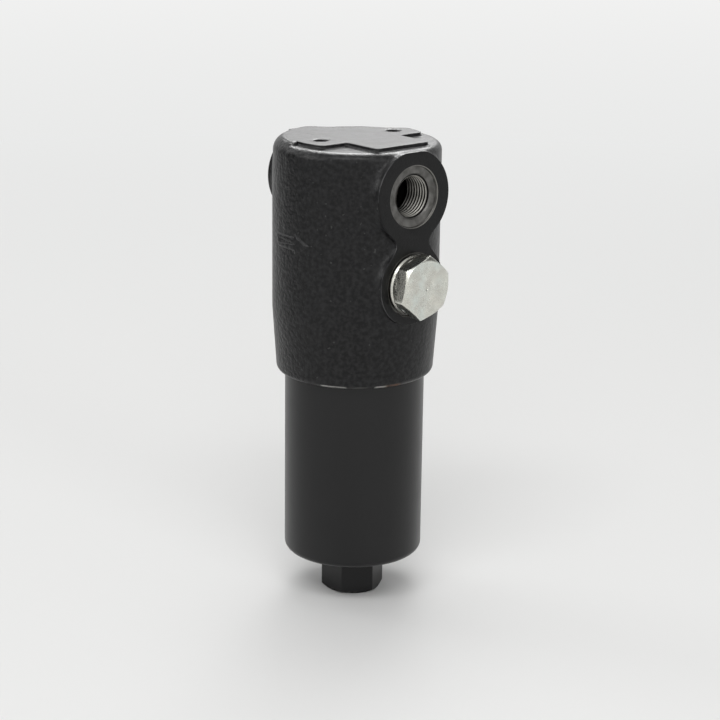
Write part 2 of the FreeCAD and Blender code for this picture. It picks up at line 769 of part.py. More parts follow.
def element_media():
    """The pleated pack, one folded sheet of even thickness round the core."""
    half = value("media_wall") / 2
    corners = pleat_corners()
    section = offset_loop(corners, half).cut(offset_loop(corners, -half))
    low = value("media_low")
    item = doc.addObject("Part::Feature", "element_media")
    item.Shape = section.extrude(FreeCAD.Vector(0, 0, value("media_top") - low))
    item.Placement = FreeCAD.Placement(FreeCAD.Vector(0, 0, low), FreeCAD.Rotation())


def element_seam_clip():
    """A folded steel strip that grips the first pleat along its outer edge."""
    wide = place(block("clip_outside", "clip_depth + clip_wall", "2 * clip_half_width",
                       "media_top - media_low"),
                 across="media_outer - clip_depth", along="-clip_half_width", up="media_low")
    slot = place(block("clip_slot", "clip_depth + fit_gap / 2", "2 * (clip_half_width - clip_wall)",
                       "media_top - media_low"),
                 across="media_outer - clip_depth", along="clip_wall - clip_half_width", up="media_low")
    clip = doc.addObject("Part::Cut", "element_seam_clip")
    clip.Base = wide
    clip.Tool = slot


def bypass_housing():
    """The turned housing in the lower cap, with the valve seat and a groove for the circlip."""
    turned("bypass_housing", [
        ("valve_seat_radius", "valve_foot"),
        ("valve_radius + valve_flange_width", "valve_foot"),
        ("valve_radius + valve_flange_width", "bottom_cap_plate"),
        ("valve_radius", "bottom_cap_plate"),
        ("valve_radius", "valve_top"),
        ("valve_bore_radius", "valve_top"),
        ("valve_bore_radius", "circlip_high + fit_gap"),
        ("circlip_groove_radius", "circlip_high + fit_gap"),
        ("circlip_groove_radius", "circlip_low"),
        ("valve_bore_radius", "circlip_low"),
        ("valve_bore_radius", "seat_height"),
        ("valve_seat_radius", "seat_height"),
    ])


def bypass_poppet():
    """The poppet: a disc on the seat, with a stem up through the spring and its plate."""
    turned("bypass_poppet", [
        ("0", "seat_height"),
        ("poppet_radius - lead_in", "seat_height"),
        ("poppet_radius", "seat_height + lead_in"),
        ("poppet_radius", "poppet_top"),
        ("stem_radius", "poppet_top"),
        ("stem_radius", "circlip_low + stem_above_plate"),
        ("0", "circlip_low + stem_above_plate"),
    ])


def circle(body, label, role, across, up, radius):
    """A sketch of one circle on an origin plane, its centre and radius bound to expressions."""
    sketch = body.newObject("Sketcher::SketchObject", label)
    sketch.AttachmentSupport = [(own_datum(body, role), "")]
    sketch.MapMode = "FlatFace"
    centre = FreeCAD.Vector(value(across), value(up), 0)
    sketch.addGeometry(Part.Circle(centre, FreeCAD.Vector(0, 0, 1), value(radius)))
    if up == "0":
        sketch.addConstraint(Sketcher.Constraint("PointOnObject", 0, 3, -1))
    else:
        made = sketch.addConstraint(Sketcher.Constraint("DistanceY", -1, 1, 0, 3, centre.y))
        sketch.setExpression(f"Constraints[{made}]", bound(up))
    made = sketch.addConstraint(Sketcher.Constraint("DistanceX", -1, 1, 0, 3, centre.x))
    sketch.setExpression(f"Constraints[{made}]", bound(across))
    made = sketch.addConstraint(Sketcher.Constraint("Radius", 0, value(radius)))
    sketch.setExpression(f"Constraints[{made}]", bound(radius))
    return sketch


def bypass_spring():
    """The coil spring between the poppet's disc and the spring plate."""
    spring = doc.addObject("PartDesign::Body", "bypass_spring")
    section = circle(spring, "spring_wire_outline", "XZ_Plane",
                     "spring_radius", "poppet_top + spring_wire + fit_gap", "spring_wire")
    coil = spring.newObject("PartDesign::AdditiveHelix", "spring_coil")
    coil.Profile = section
    coil.ReferenceAxis = (section, ["V_Axis"])
    coil.Mode = "height-turns-growth"
    coil.setExpression("Height", bound("spring_space - 2 * spring_wire - 2 * fit_gap"))
    coil.setExpression("Turns", bound("spring_turns"))
    coil.Growth = 0
    doc.recompute()


def bypass_spring_plate():
    """The disc that the spring pushes up against the circlip, with a ring of flow holes."""
    plate = turned("bypass_spring_plate", [
        ("stem_radius + stem_clearance", "spring_top"),
        ("valve_bore_radius - fit_gap", "spring_top"),
        ("valve_bore_radius - fit_gap", "circlip_low - fit_gap"),
        ("stem_radius + stem_clearance", "circlip_low - fit_gap"),
    ])
    whole = plate.Shape.Volume
    hole = plate.newObject("PartDesign::Pocket", "flow_hole")
    hole.Profile = circle(plate, "flow_hole_outline", "XY_Plane",
                          "(stem_radius + stem_clearance + valve_bore_radius) / 2", "0",
                          "spring_plate_hole_radius")
    hole.Type = "ThroughAll"
    hole.Midplane = True
    doc.recompute()
    if plate.Shape.Volume >= whole:
        raise RuntimeError("flow_hole cuts nothing")
    holes = plate.newObject("PartDesign::PolarPattern", "flow_holes")
    holes.Originals = [hole]
    holes.Axis = (own_datum(plate, "Z_Axis"), [""])
    holes.Angle = 360
    holes.Occurrences = SPRING_PLATE_HOLES
    plate.Tip = holes


def bypass_circlip():
    """The open ring in the housing's groove that holds the spring plate down."""
    ring = turned("circlip_ring", [
        ("circlip_groove_radius - circlip_wall", "circlip_low"),
        ("circlip_groove_radius - fit_gap", "circlip_low"),
        ("circlip_groove_radius - fit_gap", "circlip_high"),
        ("circlip_groove_radius - circlip_wall", "circlip_high"),
    ])
    gap = place(block("circlip_opening", "2 * valve_radius", "circlip_gap", "2 * circlip_height"),
                along="-circlip_gap / 2", up="circlip_low - circlip_height / 2")
    circlip = doc.addObject("Part::Cut", "bypass_circlip")
    circlip.Base = ring
    circlip.Tool = gap


def indicator_plug():
    """The hexagonal blanking plug, its heights measured from the head's axis and set along +X."""
    plug = turned("indicator_plug", [
        ("0", "plug_nose_end"),
        ("plug_nose_radius", "plug_nose_end"),
        ("plug_nose_radius", "nose_groove_start"),
        ("nose_groove_floor", "nose_groove_start"),
        ("nose_groove_floor", "nose_groove_end"),
        ("plug_nose_radius", "nose_groove_end"),
        ("plug_nose_radius", "plug_shoulder"),
        ("plug_thread_root - lead_in", "plug_shoulder"),
        ("plug_thread_root", "plug_shoulder + lead_in"),
        ("plug_thread_root", "plug_flange_face"),
        ("plug_flange_radius", "plug_flange_face"),
        ("plug_flange_radius", "plug_hexagon_face"),
        ("0", "plug_hexagon_face"),
    ])
    hexagon(plug, "plug_hexagon", "plug_corner", "plug_hexagon_face", "plug_hexagon_height",
            "plug_hexagon_turn")
    turn_off(plug, "plug_chamfer", [
        ("plug_corner", "plug_end - plug_chamfer_rise"),
        (f"plug_corner + {OVERSHOOT}", "plug_end - plug_chamfer_rise"),
        (f"plug_corner + {OVERSHOOT}", "plug_end"),
        ("plug_corner - plug_chamfer_rise / tan(30 deg)", "plug_end"),
    ])
    turn_off(plug, "plug_centre_mark", [
        ("0", "plug_end - plug_centre_depth"),
        ("plug_centre_radius", "plug_end"),
        ("0", "plug_end"),
    ])
    place(plug, up="indicator_height", turn=TO_PLUS_X)


def plug_seals():
    """The flat ring under the plug's flange and the O-ring on its nose."""
    seal = turned("plug_seal_ring", [
        ("seal_ring_bore", "plug_seat"),
        ("seal_ring_radius", "plug_seat"),
        ("seal_ring_radius", "plug_flange_face"),
        ("seal_ring_bore", "plug_flange_face"),
    ])
    place(seal, up="indicator_height", turn=TO_PLUS_X)
    nose_seal = ring_seal("plug_nose_o_ring", "nose_groove_floor", "nose_seal_space")
    place(nose_seal, across="(nose_groove_start + nose_groove_end) / 2", up="indicator_height",
          turn=TO_PLUS_X)


NODES = [
    "head_casting", "outlet_spigot", "spigot_seal", "bowl", "bowl_o_ring", "bowl_backup_ring",
    "element_top_cap", "element_o_ring", "element_bottom_cap", "element_core_tube", "element_media",
    "element_seam_clip", "element_sleeve", "bypass_housing", "bypass_poppet", "bypass_spring",
    "bypass_spring_plate", "bypass_circlip", "indicator_plug", "plug_seal_ring", "plug_nose_o_ring",
]


def save():
    """Checks every object, then writes one file for each sub-part."""
    doc.recompute()
    failed = [item.Name for item in doc.Objects if {"Invalid", "Error"} & set(item.State)]
    if failed:
        raise RuntimeError("failed: " + ", ".join(failed))
    pieces = [doc.getObject(name) for name in NODES]
    for piece in pieces:
        shape = piece.Shape
        if shape.isNull() or not shape.isValid() or not shape.Solids:
            raise RuntimeError(piece.Name + " has no valid solid")
    os.makedirs("parts", exist_ok=True)
    for piece in pieces:
        piece.Label = piece.Name
        piece.Shape.exportStep(f"parts/{piece.Name}.step")
        print(piece.Name, len(piece.Shape.Solids), round(piece.Shape.Volume), piece.Shape.BoundBox)


fill_sheet()
head_casting()
spigot()
bowl()
bowl_seals()
element_caps()
perforated("element_core_tube", "core_radius", "core_wall", "core_hole_pitch", CORE_HOLE_COLUMNS,
           core_hole())
element_media()
element_seam_clip()
perforated("element_sleeve", "sleeve_radius", "sleeve_wall", "sleeve_window_pitch", SLEEVE_WINDOW_COLUMNS,
           sleeve_window())
bypass_housing()
bypass_poppet()
bypass_spring()
bypass_spring_plate()
bypass_circlip()
indicator_plug()
plug_seals()
save()
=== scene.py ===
# %% [markdown]
# This notebook dresses a high-pressure hydraulic filter: a black cast head with two threaded ports
# and a zinc-plated plug, over a smooth black bowl. The CAD model already gives every part its size
# and its place. Blender adds what a photograph shows: rounded casting edges, threads, machining
# marks and paint. The first cell loads the CAD model.

# %% Load the frame
import math

import bpy
import numpy as np
from mathutils import Matrix, Vector


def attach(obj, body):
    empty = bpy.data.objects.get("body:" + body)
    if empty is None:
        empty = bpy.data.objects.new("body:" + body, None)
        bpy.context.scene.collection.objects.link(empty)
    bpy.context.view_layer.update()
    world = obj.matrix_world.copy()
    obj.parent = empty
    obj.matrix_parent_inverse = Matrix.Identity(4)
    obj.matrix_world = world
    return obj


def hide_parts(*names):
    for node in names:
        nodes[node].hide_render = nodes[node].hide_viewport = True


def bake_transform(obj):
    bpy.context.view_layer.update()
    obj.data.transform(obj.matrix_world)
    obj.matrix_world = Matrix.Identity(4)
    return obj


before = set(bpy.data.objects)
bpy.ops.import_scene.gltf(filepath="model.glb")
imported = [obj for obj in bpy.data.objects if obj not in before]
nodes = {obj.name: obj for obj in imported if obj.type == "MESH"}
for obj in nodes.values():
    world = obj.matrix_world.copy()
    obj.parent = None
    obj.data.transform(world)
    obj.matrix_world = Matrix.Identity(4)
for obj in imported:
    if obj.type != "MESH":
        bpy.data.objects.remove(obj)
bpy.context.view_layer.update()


def placed(name, data):
    """A new object in the scene, for a mesh, a lamp or a camera."""
    made = bpy.data.objects.new(name, data)
    bpy.context.scene.collection.objects.link(made)
    return made


# %% [markdown]
# The camera stands where the photographer's stood: in front and to the right, above the pad, with
# a long lens. The view direction and a small roll were measured from the bowl's sides and the
# hexagon's corners in the photograph. Look-at constraints are the usual way to aim a camera, but
# they can't hold a measured roll, so it is placed by its own axes.

# %% The camera
CAMERA_PLACE = Vector((0.7123, -0.6118, 0.393))
CAMERA_AIM = Vector((-0.7262, 0.6273, -0.2815)).normalized()
CAMERA_ROLL = math.radians(0.73)
LENS, SENSOR_WIDTH = 100.05, 36.0

level_right = CAMERA_AIM.cross(Vector((0, 0, 1))).normalized()
level_up = level_right.cross(CAMERA_AIM)
camera_right = level_right * math.cos(CAMERA_ROLL) + level_up * math.sin(CAMERA_ROLL)
camera_up = level_up * math.cos(CAMERA_ROLL) - level_right * math.sin(CAMERA_ROLL)
camera_data = bpy.data.cameras.new("camera")
camera_data.lens = LENS
camera_data.sensor_width = SENSOR_WIDTH
camera_data.clip_start, camera_data.clip_end = 0.01, 100.0
camera = placed("camera", camera_data)
camera.matrix_world = Matrix((camera_right, camera_up, -CAMERA_AIM)).transposed().to_4x4()
camera.matrix_world.translation = CAMERA_PLACE
bpy.context.scene.camera = camera
print("camera", tuple(round(v, 4) for v in CAMERA_PLACE), "lens", LENS, "mm")

# %% [markdown]
# Every new piece is a closed skin of loops. A loop is one row of a grid of points, and the columns
# run round the piece, as on a lathe. The points come from numpy in whole arrays, so a shape is a
# formula in two parameters: which loop, and how far round it. One helper makes such a grid a mesh,
# and turns the faces outwards if the volume that they enclose comes out negative.

# %% A closed skin from a grid of points
MILLIMETRE = 0.001


def once_round(columns):
    """One angle in radians for each column."""
    return 2 * np.pi * np.arange(columns) / columns


def closed_skin(name, points):
    """A mesh object from points[row, column] in millimetres, its columns joined round the back.
    Quads fill the space between rows, and a fan to its middle closes each end."""
    rows, columns = points.shape[:2]
    here = np.arange(rows * columns).reshape(rows, columns)
    onward = np.roll(here, -1, axis=1)
    quads = np.stack([here[:-1], onward[:-1], onward[1:], here[1:]], axis=-1).reshape(-1, 4)
    first, last = rows * columns, rows * columns + 1
    fans = np.concatenate([
        np.stack([np.full(columns, first), onward[0], here[0]], axis=-1),
        np.stack([np.full(columns, last), here[-1], onward[-1]], axis=-1),
    ])
    corners = np.concatenate([points.reshape(-1, 3), [points[0].mean(axis=0)],
                              [points[-1].mean(axis=0)]])
    halves = np.concatenate([quads[:, :3], quads[:, [0, 2, 3]], fans])
    a, b, c = (corners[halves[:, side]] for side in range(3))
    if np.einsum("ij,ij->i", a, np.cross(b, c)).sum() < 0:
        quads, fans = quads[:, ::-1], fans[:, ::-1]
    mesh = bpy.data.meshes.new(name)
    mesh.from_pydata((corners * MILLIMETRE).tolist(), [], quads.tolist() + fans.tolist())
    return placed(name, mesh)


# %% [markdown]
# Most parts of the filter are turned, so their outline is a path of heights and radii. A helper
# rounds the path's corners with arcs, because only a rounded edge catches a line of light. Another
# carries the path round an axis: upright for bowl and head, or along X for the ports and the plug.

# %% Outlines and turning
def unit(vector):
    """The same direction with a length of 1."""
    return vector / np.linalg.norm(vector)


def rounded_outline(*corners, facets=6):
    """Rows of (height, radius) through corners of (height, radius) or (height, radius, rounding).

    A rounded corner becomes an arc that touches both of its sides: it starts and ends at
    rounding * tan(half the turn) from the corner.
    """
    spots = np.array([corner[:2] for corner in corners], float)
    rows = [spots[:1]]
    for index in range(1, len(corners) - 1):
        spot = spots[index]
        rounding = corners[index][2] if len(corners[index]) > 2 else 0.0
        if not rounding:
            rows.append(spot[None])
            continue
        back, ahead = unit(spots[index - 1] - spot), unit(spots[index + 1] - spot)
        half_turn = (math.pi - math.acos(np.clip(back @ ahead, -1, 1))) / 2
        touch = rounding * math.tan(half_turn)
        centre = spot + unit(back + ahead) * rounding / math.cos(half_turn)
        start = unit(spot + back * touch - centre)
        side = spot + ahead * touch - centre
        side = unit(side - start * (side @ start))
        turn = np.linspace(0, 2 * half_turn, facets)[:, None]
        rows.append(centre + rounding * (np.cos(turn) * start + np.sin(turn) * side))
    return np.concatenate(rows + [spots[-1:]])


def divided(rows, step):
    """The same path with a row added at least every step along it."""
    lengths = np.linalg.norm(np.diff(rows, axis=0), axis=1)
    pieces = [np.linspace(rows[index], rows[index + 1], max(1, math.ceil(length / step)),
                          endpoint=False) for index, length in enumerate(lengths)]
    return np.concatenate(pieces + [rows[-1:]])


def turned(name, rows, columns, axis="Z", up=0.0):
    """A skin round an axis from rows of (height along it, radius), each a number or one for each
    column. The axis is Z, or X or -X at a height `up`; -X is X turned half round Z."""
    height, radius = np.array([[np.broadcast_to(value, columns) for value in row]
                               for row in rows]).transpose(1, 0, 2)
    angle = once_round(columns)
    across, around = radius * np.cos(angle), radius * np.sin(angle)
    if axis == "Z":
        return closed_skin(name, np.stack([across, around, height], axis=-1))
    side = -1.0 if axis == "-X" else 1.0
    return closed_skin(name, np.stack([side * height, side * across, up + around], axis=-1))


print("an edge rounded by 3 mm has", len(rounded_outline((0, 0), (0, 10, 3), (10, 10))), "rows")

# %% [markdown]
# A screw thread is a ridge that climbs one pitch for each turn. On a grid of loops it is a wave
# along the height, shifted by the angle, so the ridge follows a helix on its own. A Screw modifier
# would also work, but it leaves the ends open, and a cut needs a closed tool.

# %% The thread wave
FLAT_SHARE, RUN_OUT, OUT_OF_STEP = 0.125, 0.8, 0.5


def thread_wave(height, columns, start, end, pitch, shift=0.0):
    """From 0 in the groove to 1 on the crest of a right-handed thread, for each row and column.

    The phase is (height - start) / pitch - angle / full turn. A triangle wave of the phase is
    clipped flat at the crest and the groove, and fades out over RUN_OUT at both ends. A male
    thread is shifted by OUT_OF_STEP, so that its ridge lies in the groove of the female one.
    """
    phase = (height - start) / pitch - once_round(columns) / (2 * np.pi) + shift
    wave = 1 - np.abs(2 * (phase % 1) - 1)
    fade = np.clip((height - start) / RUN_OUT, 0, 1) * np.clip((end - height) / RUN_OUT, 0, 1)
    return np.clip((wave - FLAT_SHARE) / (1 - 2 * FLAT_SHARE), 0, 1) * fade


def thread_rows(low, high, pitch, rows_per_pitch=9):
    """Heights for the loops of a thread, evenly spaced and fine enough for its flanks."""
    return np.linspace(low, high, math.ceil((high - low) / pitch * rows_per_pitch) + 1)


def with_thread(before, thread, root, after):
    """Rows of (height, radius), then a thread's heights at its root, then more rows. Gives all
    heights, all radii and a mask of the thread's rows, each as a column."""
    before, after = np.array(before), np.array(after)
    height = np.concatenate([before[:, 0], thread, after[:, 0]])
    radius = np.concatenate([before[:, 1], np.full(len(thread), root), after[:, 1]])
    on_thread = np.concatenate([np.zeros(len(before)), np.ones(len(thread)), np.zeros(len(after))])
    return height[:, None], radius[:, None], on_thread[:, None]


print("a G 1/2 thread 10 mm long has", len(thread_rows(0, 10, 1.814)), "rows")

# %% [markdown]
# The bosses, the pad and the arrow aren't round, so their outlines come from a signed distance:
# how far a point is outside a circle or a strip, negative inside. The larger of two distances keeps
# what both share, and the smaller joins them. Two blends do that and round the corner. The outline
# is found along rays from a middle point, and one a little further in or out gives the rim and the
# foot of the same form.

# %% Outlines from distances
def joined(a, b, rounding):
    """The distance to two shapes together, with a rounding in the inner corner between them."""
    inner = np.hypot(np.maximum(rounding - a, 0), np.maximum(rounding - b, 0))
    return np.maximum(rounding, np.minimum(a, b)) - inner


def shared(a, b, rounding):
    """The distance to what two shapes share, with its outer corner rounded."""
    outer = np.hypot(np.maximum(rounding + a, 0), np.maximum(rounding + b, 0))
    return np.minimum(-rounding, np.maximum(a, b)) + outer


REACH, HALVINGS = 60.0, 40


def outline_at(field, level, columns, middle):
    """Points (across, up) where rays from the middle cross the level of a distance field. Each ray
    is halved again and again between a point inside and a point outside."""
    angle = once_round(columns)
    ray_across, ray_up = np.cos(angle), np.sin(angle)
    inside, outside = np.zeros(columns), np.full(columns, REACH)
    for _ in range(HALVINGS):
        tried = (inside + outside) / 2
        is_inside = field(middle[0] + tried * ray_across, middle[1] + tried * ray_up) < level
        inside = np.where(is_inside, tried, inside)
        outside = np.where(is_inside, outside, tried)
    return middle[0] + inside * ray_across, middle[1] + inside * ray_up


def stacked(name, field, rows, columns, middle=(0.0, 0.0)):
    """A skin of flat loops: each row is an outline's level in the field, and its height."""
    loops = []
    for level, height in rows:
        across, along = outline_at(field, level, columns, middle)
        loops.append(np.stack([across, along, np.full(columns, height)], axis=-1))
    return closed_skin(name, np.stack(loops))


print("outlines are found to within", REACH / 2 ** HALVINGS, "mm")

# %% [markdown]
# Finishes are node trees, and most of their nodes are plain arithmetic, which is hard to read node
# by node. A small class holds one socket and gives it Python's own operators, so a mask is written
# as an expression and each operator adds its Math node. `node` adds every other kind of node.

# %% A socket that can be reckoned with
class Wire:
    """One output socket of a node tree, with Python's arithmetic on it."""

    def __init__(self, tree, socket=None):
        self.tree = tree
        self.socket = socket

    def node(self, kind, settings=None, out=0, **sockets):
        """Adds a node: its settings first, then its inputs, by name or identifier. Underscores in
        a name stand for spaces. Gives the wire from its output `out`, if it has one."""
        made = self.tree.nodes.new("ShaderNode" + kind)
        for setting, value in (settings or {}).items():
            setattr(made, setting, value)
        for name, value in sockets.items():
            socket = next(item for item in made.inputs
                          if name in (item.identifier, item.name.replace(" ", "_")))
            self.put(socket, value)
        return Wire(self.tree, made.outputs[out]) if made.outputs else None

    def put(self, socket, value):
        """Links a wire to a socket, or sets the socket's own value."""
        if isinstance(value, Wire):
            self.tree.links.new(value.socket, socket)
        elif isinstance(value, tuple) and len(socket.default_value) == 4:
            socket.default_value = (*value, 1.0)
        else:
            socket.default_value = value

    def other(self, out):
        """Another output of the same node."""
        return Wire(self.tree, self.socket.node.outputs[out])

    def math(self, operation, *values):
        """A Math node of one or two values."""
        return self.node("Math", {"operation": operation},
                         **dict(zip(("Value", "Value_001"), values)))

    def __rsub__(self, other):
        return self.math("SUBTRACT", other, self)

    def __abs__(self):
        return self.math("ABSOLUTE", self)

    def between(self, low, high):
        """0 below `low`, 1 above `high`, and even in between; `low` may be the larger one."""
        share = (self - low) / (high - low)
        return share.math("MINIMUM", share | 0.0, 1.0)

    def inside(self, low, high, soft_low, soft_high):
        """1 from `low` to `high`, with a soft edge of its own width inside each end."""
        return self.between(low, low + soft_low) * self.between(high, high - soft_high)

    def towards(self, start, end):
        """A colour from `start`, where this value is 0, to `end`, where it is 1."""
        return self.node("Mix", {"data_type": "RGBA"}, 2,
                         Factor_Float=self, A_Color=start, B_Color=end)


def finish(name, make, **constants):
    """A material on one Principled shader. `make` takes a Wire and gives what varies over the
    surface, by socket name; the constants are set on the shader's own sockets."""
    material = bpy.data.materials.new(name)
    material.use_nodes = True
    tree = material.node_tree
    shader = next(node for node in tree.nodes if node.type == "BSDF_PRINCIPLED")
    start = Wire(tree)
    for socket, value in {**constants, **make(start)}.items():
        start.put(shader.inputs[socket.replace("_", " ")], value)
    return material


for method, operation in {"__add__": "ADD", "__radd__": "ADD", "__sub__": "SUBTRACT",
                          "__mul__": "MULTIPLY", "__truediv__": "DIVIDE", "__pow__": "POWER",
                          "__or__": "MAXIMUM"}.items():
    setattr(Wire, method, lambda one, other, kind=operation: one.math(kind, one, other))
print("a wire can", ", ".join(name for name in vars(Wire) if not name.startswith("_")))

# %% [markdown]
# The head is one iron casting, machined where something seals or screws in. It is made as it is in
# the foundry and the shop: the outer forms are joined first, then tools as large as each bore are
# cut away. The barrel comes first. It tapers towards the bowl, with a large round at the crown and
# a smaller one at its foot. One quarter of the crown is cast higher, level with the pad on top.
# All sizes are in millimetres and agree with the CAD model's.

# %% The barrel
HEAD_FOOT, TAPER_TOP, CROWN = 113.7, 145.7, 226.5
SKIRT_RADIUS, HEAD_RADIUS = 38.0, 40.25
SKIRT_ROUND, TAPER_ROUND, CROWN_ROUND = 3.2, 60.0, 4.2
SHOULDER_TOP, SHOULDER_ROUND, SHOULDER_DEPTH, SHOULDER_STEP = 228.46, 6.8, 16.0, 0.3
QUARTER_ALONG, QUARTER_ACROSS = (-3.4, -5.6), (14.0, -5.0)
BARREL_COLUMNS = 240

barrel_rows = divided(rounded_outline(
    (HEAD_FOOT, 4.0), (HEAD_FOOT, SKIRT_RADIUS, SKIRT_ROUND), (TAPER_TOP, HEAD_RADIUS, TAPER_ROUND),
    (CROWN, HEAD_RADIUS, CROWN_ROUND), (CROWN, 4.0), facets=9), 2.5)


def ramp(value, low, high):
    """0 at low and 1 at high, with a soft start and end."""
    share = np.clip((value - low) / (high - low), 0, 1)
    return share * share * (3 - 2 * share)


def raised(rows):
    """The barrel's rows with one quarter of the crown lifted to the pad's level.

    The crown's round of radius c grows to one of radius s: where its slope is t, a point goes up
    by (s - c) * sin t and in by (s - c) * (1 - cos t).
    """
    turn = once_round(BARREL_COLUMNS)
    height, radius = rows.T[..., None] * np.ones(BARREL_COLUMNS)
    quarter = (ramp(radius * np.cos(turn), *QUARTER_ALONG)
               * ramp(radius * np.sin(turn), *QUARTER_ACROSS))
    wall = ramp(height, CROWN - SHOULDER_DEPTH, CROWN - CROWN_ROUND) * quarter
    slope = np.clip((height - CROWN + CROWN_ROUND) / CROWN_ROUND, 0, 1)
    growth = SHOULDER_ROUND - CROWN_ROUND
    up = (SHOULDER_TOP - CROWN - growth) * wall + growth * slope * quarter
    inward = SHOULDER_STEP * wall + growth * (1 - np.sqrt(1 - slope ** 2)) * quarter
    inward = inward * radius / HEAD_RADIUS
    return zip(height + up, radius - inward)


barrel = turned("head_casting_finish", raised(barrel_rows), BARREL_COLUMNS)
print("barrel:", len(barrel.data.polygons), "faces")

# %% [markdown]
# Two bosses grow out of the barrel. The outlet boss also carries the plug's smaller boss below, and
# a neck joins the two circles, so its face is a figure eight. Filleting solids would be the CAD
# way. Here the whole boss is one skin: a flat face, a broken rim, the wall, and a concave fillet
# that lands on the barrel, and shrinks where the wall is low.

# %% The port bosses
PORT_FACE, PORT_UP, PLUG_UP = 41.0, 205.4, 163.6
PORT_BOSS, PLUG_BOSS = 21.9, 19.3
NECK_HALF, NECK_ROUND, FIGURE_MIDDLE = 9.4, 4.5, 184.6
BOSS_TOP, BOSS_TOP_ROUND, BOSS_ROOT = CROWN - 0.15, 0.8, 14.0
RIM_BREAK, BOSS_FILLET, SKIN_LIFT = 0.6, 5.5, 0.02


def barrel_radius(up):
    """The barrel's radius at a height, read off its rows."""
    order = np.argsort(barrel_rows[1:-1, 0], kind="stable")
    return np.interp(up, barrel_rows[1:-1, 0][order], barrel_rows[1:-1, 1][order])


def port_circle(across, up):
    """Distance to the port's round boss, cut level just under the crown."""
    return shared(np.hypot(across, up - PORT_UP) - PORT_BOSS, up - BOSS_TOP, BOSS_TOP_ROUND)


def figure_eight(across, up):
    """Distance to the port's boss, the plug's boss and the neck between them."""
    neck_middle = (PORT_UP + PLUG_UP) / 2
    neck = np.maximum(np.abs(across) - NECK_HALF,
                      np.abs(up - neck_middle) - (PORT_UP - PLUG_UP) / 2)
    lower = joined(neck, np.hypot(across, up - PLUG_UP) - PLUG_BOSS, NECK_ROUND)
    return joined(port_circle(across, up), lower, NECK_ROUND)


def boss_skin(name, field, middle, side, columns=300):
    """A boss from its outline: rows at a level of the field and a depth along X.

    Rim: level = break * (sin a - 1), depth = break * (1 - cos a). Fillet, of radius r above the
    barrel's own surface: level = r * (1 - cos b), height = r * (1 - sin b). It takes at most 0.95
    of the wall and 0.4 of the way up to the crown. The last two rows are the skin's root.
    """
    rows = []

    def add(level, depth_of):
        across, up = outline_at(field, level, columns, middle)
        up = np.minimum(up, BOSS_TOP)
        rows.append(np.stack([depth_of(across, up), side * across, up], axis=-1))

    def on_barrel(across, up):
        return np.sqrt(barrel_radius(up) ** 2 - across ** 2)

    across, up = outline_at(field, 0.0, columns, middle)
    wall = PORT_FACE - RIM_BREAK - on_barrel(across, np.minimum(up, BOSS_TOP))
    fillet = np.minimum(BOSS_FILLET, np.minimum(0.95 * wall, 0.4 * np.maximum(CROWN - up, 0.1)))
    fillet = np.maximum(fillet, SKIN_LIFT)
    for level in (-3.0, -1.2):
        add(level - RIM_BREAK, lambda across, up: np.full(columns, PORT_FACE))
    for turn in np.radians(np.linspace(0, 90, 5)):
        add(RIM_BREAK * (math.sin(turn) - 1),
            lambda across, up: np.full(columns, PORT_FACE - RIM_BREAK * (1 - math.cos(turn))))
    for turn in np.radians(np.linspace(0, 84, 9)):
        add(fillet * (1 - math.cos(turn)),
            lambda across, up: on_barrel(across, up) + SKIN_LIFT + fillet * (1 - math.sin(turn)))
    add(fillet + 0.5, lambda across, up: on_barrel(across, up) - 0.7)
    add(fillet + 0.5, lambda across, up: np.full(columns, BOSS_ROOT))
    points = np.stack(rows)
    points[..., 0] *= side
    return closed_skin(name, points)


outlet_boss = boss_skin("outlet_boss", figure_eight, (0.0, FIGURE_MIDDLE), 1.0)
inlet_boss = boss_skin("inlet_boss", port_circle, (0.0, PORT_UP), -1.0, 220)
print("bosses:", len(outlet_boss.data.polygons) + len(inlet_boss.data.polygons), "faces")

# %% [markdown]
# On top sits a flat machined cross for mounting. On the barrel's left a low arrow is cast in
# relief, to show which way the oil goes. Both are laid out flat from a distance field. The arrow is
# then bent round the barrel: distance along it becomes an angle.

# %% The mounting pad and the flow arrow
PAD_TOP, PAD_HALF_LENGTH, PAD_HALF_WIDTH = 228.5, 32.8, 16.5
ARM_HALF_WIDTH, ARM_REACH, PAD_ROUND = 11.8, 33.0, 2.0
PAD_CUT_DISTANCE, PAD_CUT_TURN, PAD_COLUMNS = 21.9, math.radians(141.2), 280
ARROW_ANGLE, ARROW_UP, ARROW_PROUD, ARROW_COLUMNS = math.radians(-84.2), 181.8, 0.75, 160
TAIL_HALF_LENGTH, TAIL_HALF_WIDTH, ARROW_ROUND = 7.5, 2.7, 0.6
POINT_START, POINT_TIP = -0.9, 6.6


def pad_cross(across, along):
    """Distance to a bar along X joined with two arms along Y whose ends lie on a circle, less
    what lies beyond a straight line at an angle."""
    bar = shared(np.abs(across) - PAD_HALF_LENGTH, np.abs(along) - PAD_HALF_WIDTH, PAD_ROUND)
    arms = shared(np.hypot(across, along) - ARM_REACH, np.abs(across) - ARM_HALF_WIDTH, PAD_ROUND)
    beyond = across * math.cos(PAD_CUT_TURN) + along * math.sin(PAD_CUT_TURN) - PAD_CUT_DISTANCE
    return shared(joined(bar, arms, PAD_ROUND), beyond, PAD_ROUND)


def flow_arrow(along, up):
    """Distance to a straight tail joined with a point whose flanks slope 30 degrees to it."""
    tail = shared(np.abs(along + TAIL_HALF_LENGTH) - TAIL_HALF_LENGTH,
                  np.abs(up) - TAIL_HALF_WIDTH, ARROW_ROUND)
    flank = (np.abs(up) * 8.0 + (along - POINT_TIP) * 4.6) / 9.2
    return joined(tail, shared(POINT_START - along, flank, ARROW_ROUND), 0.5)


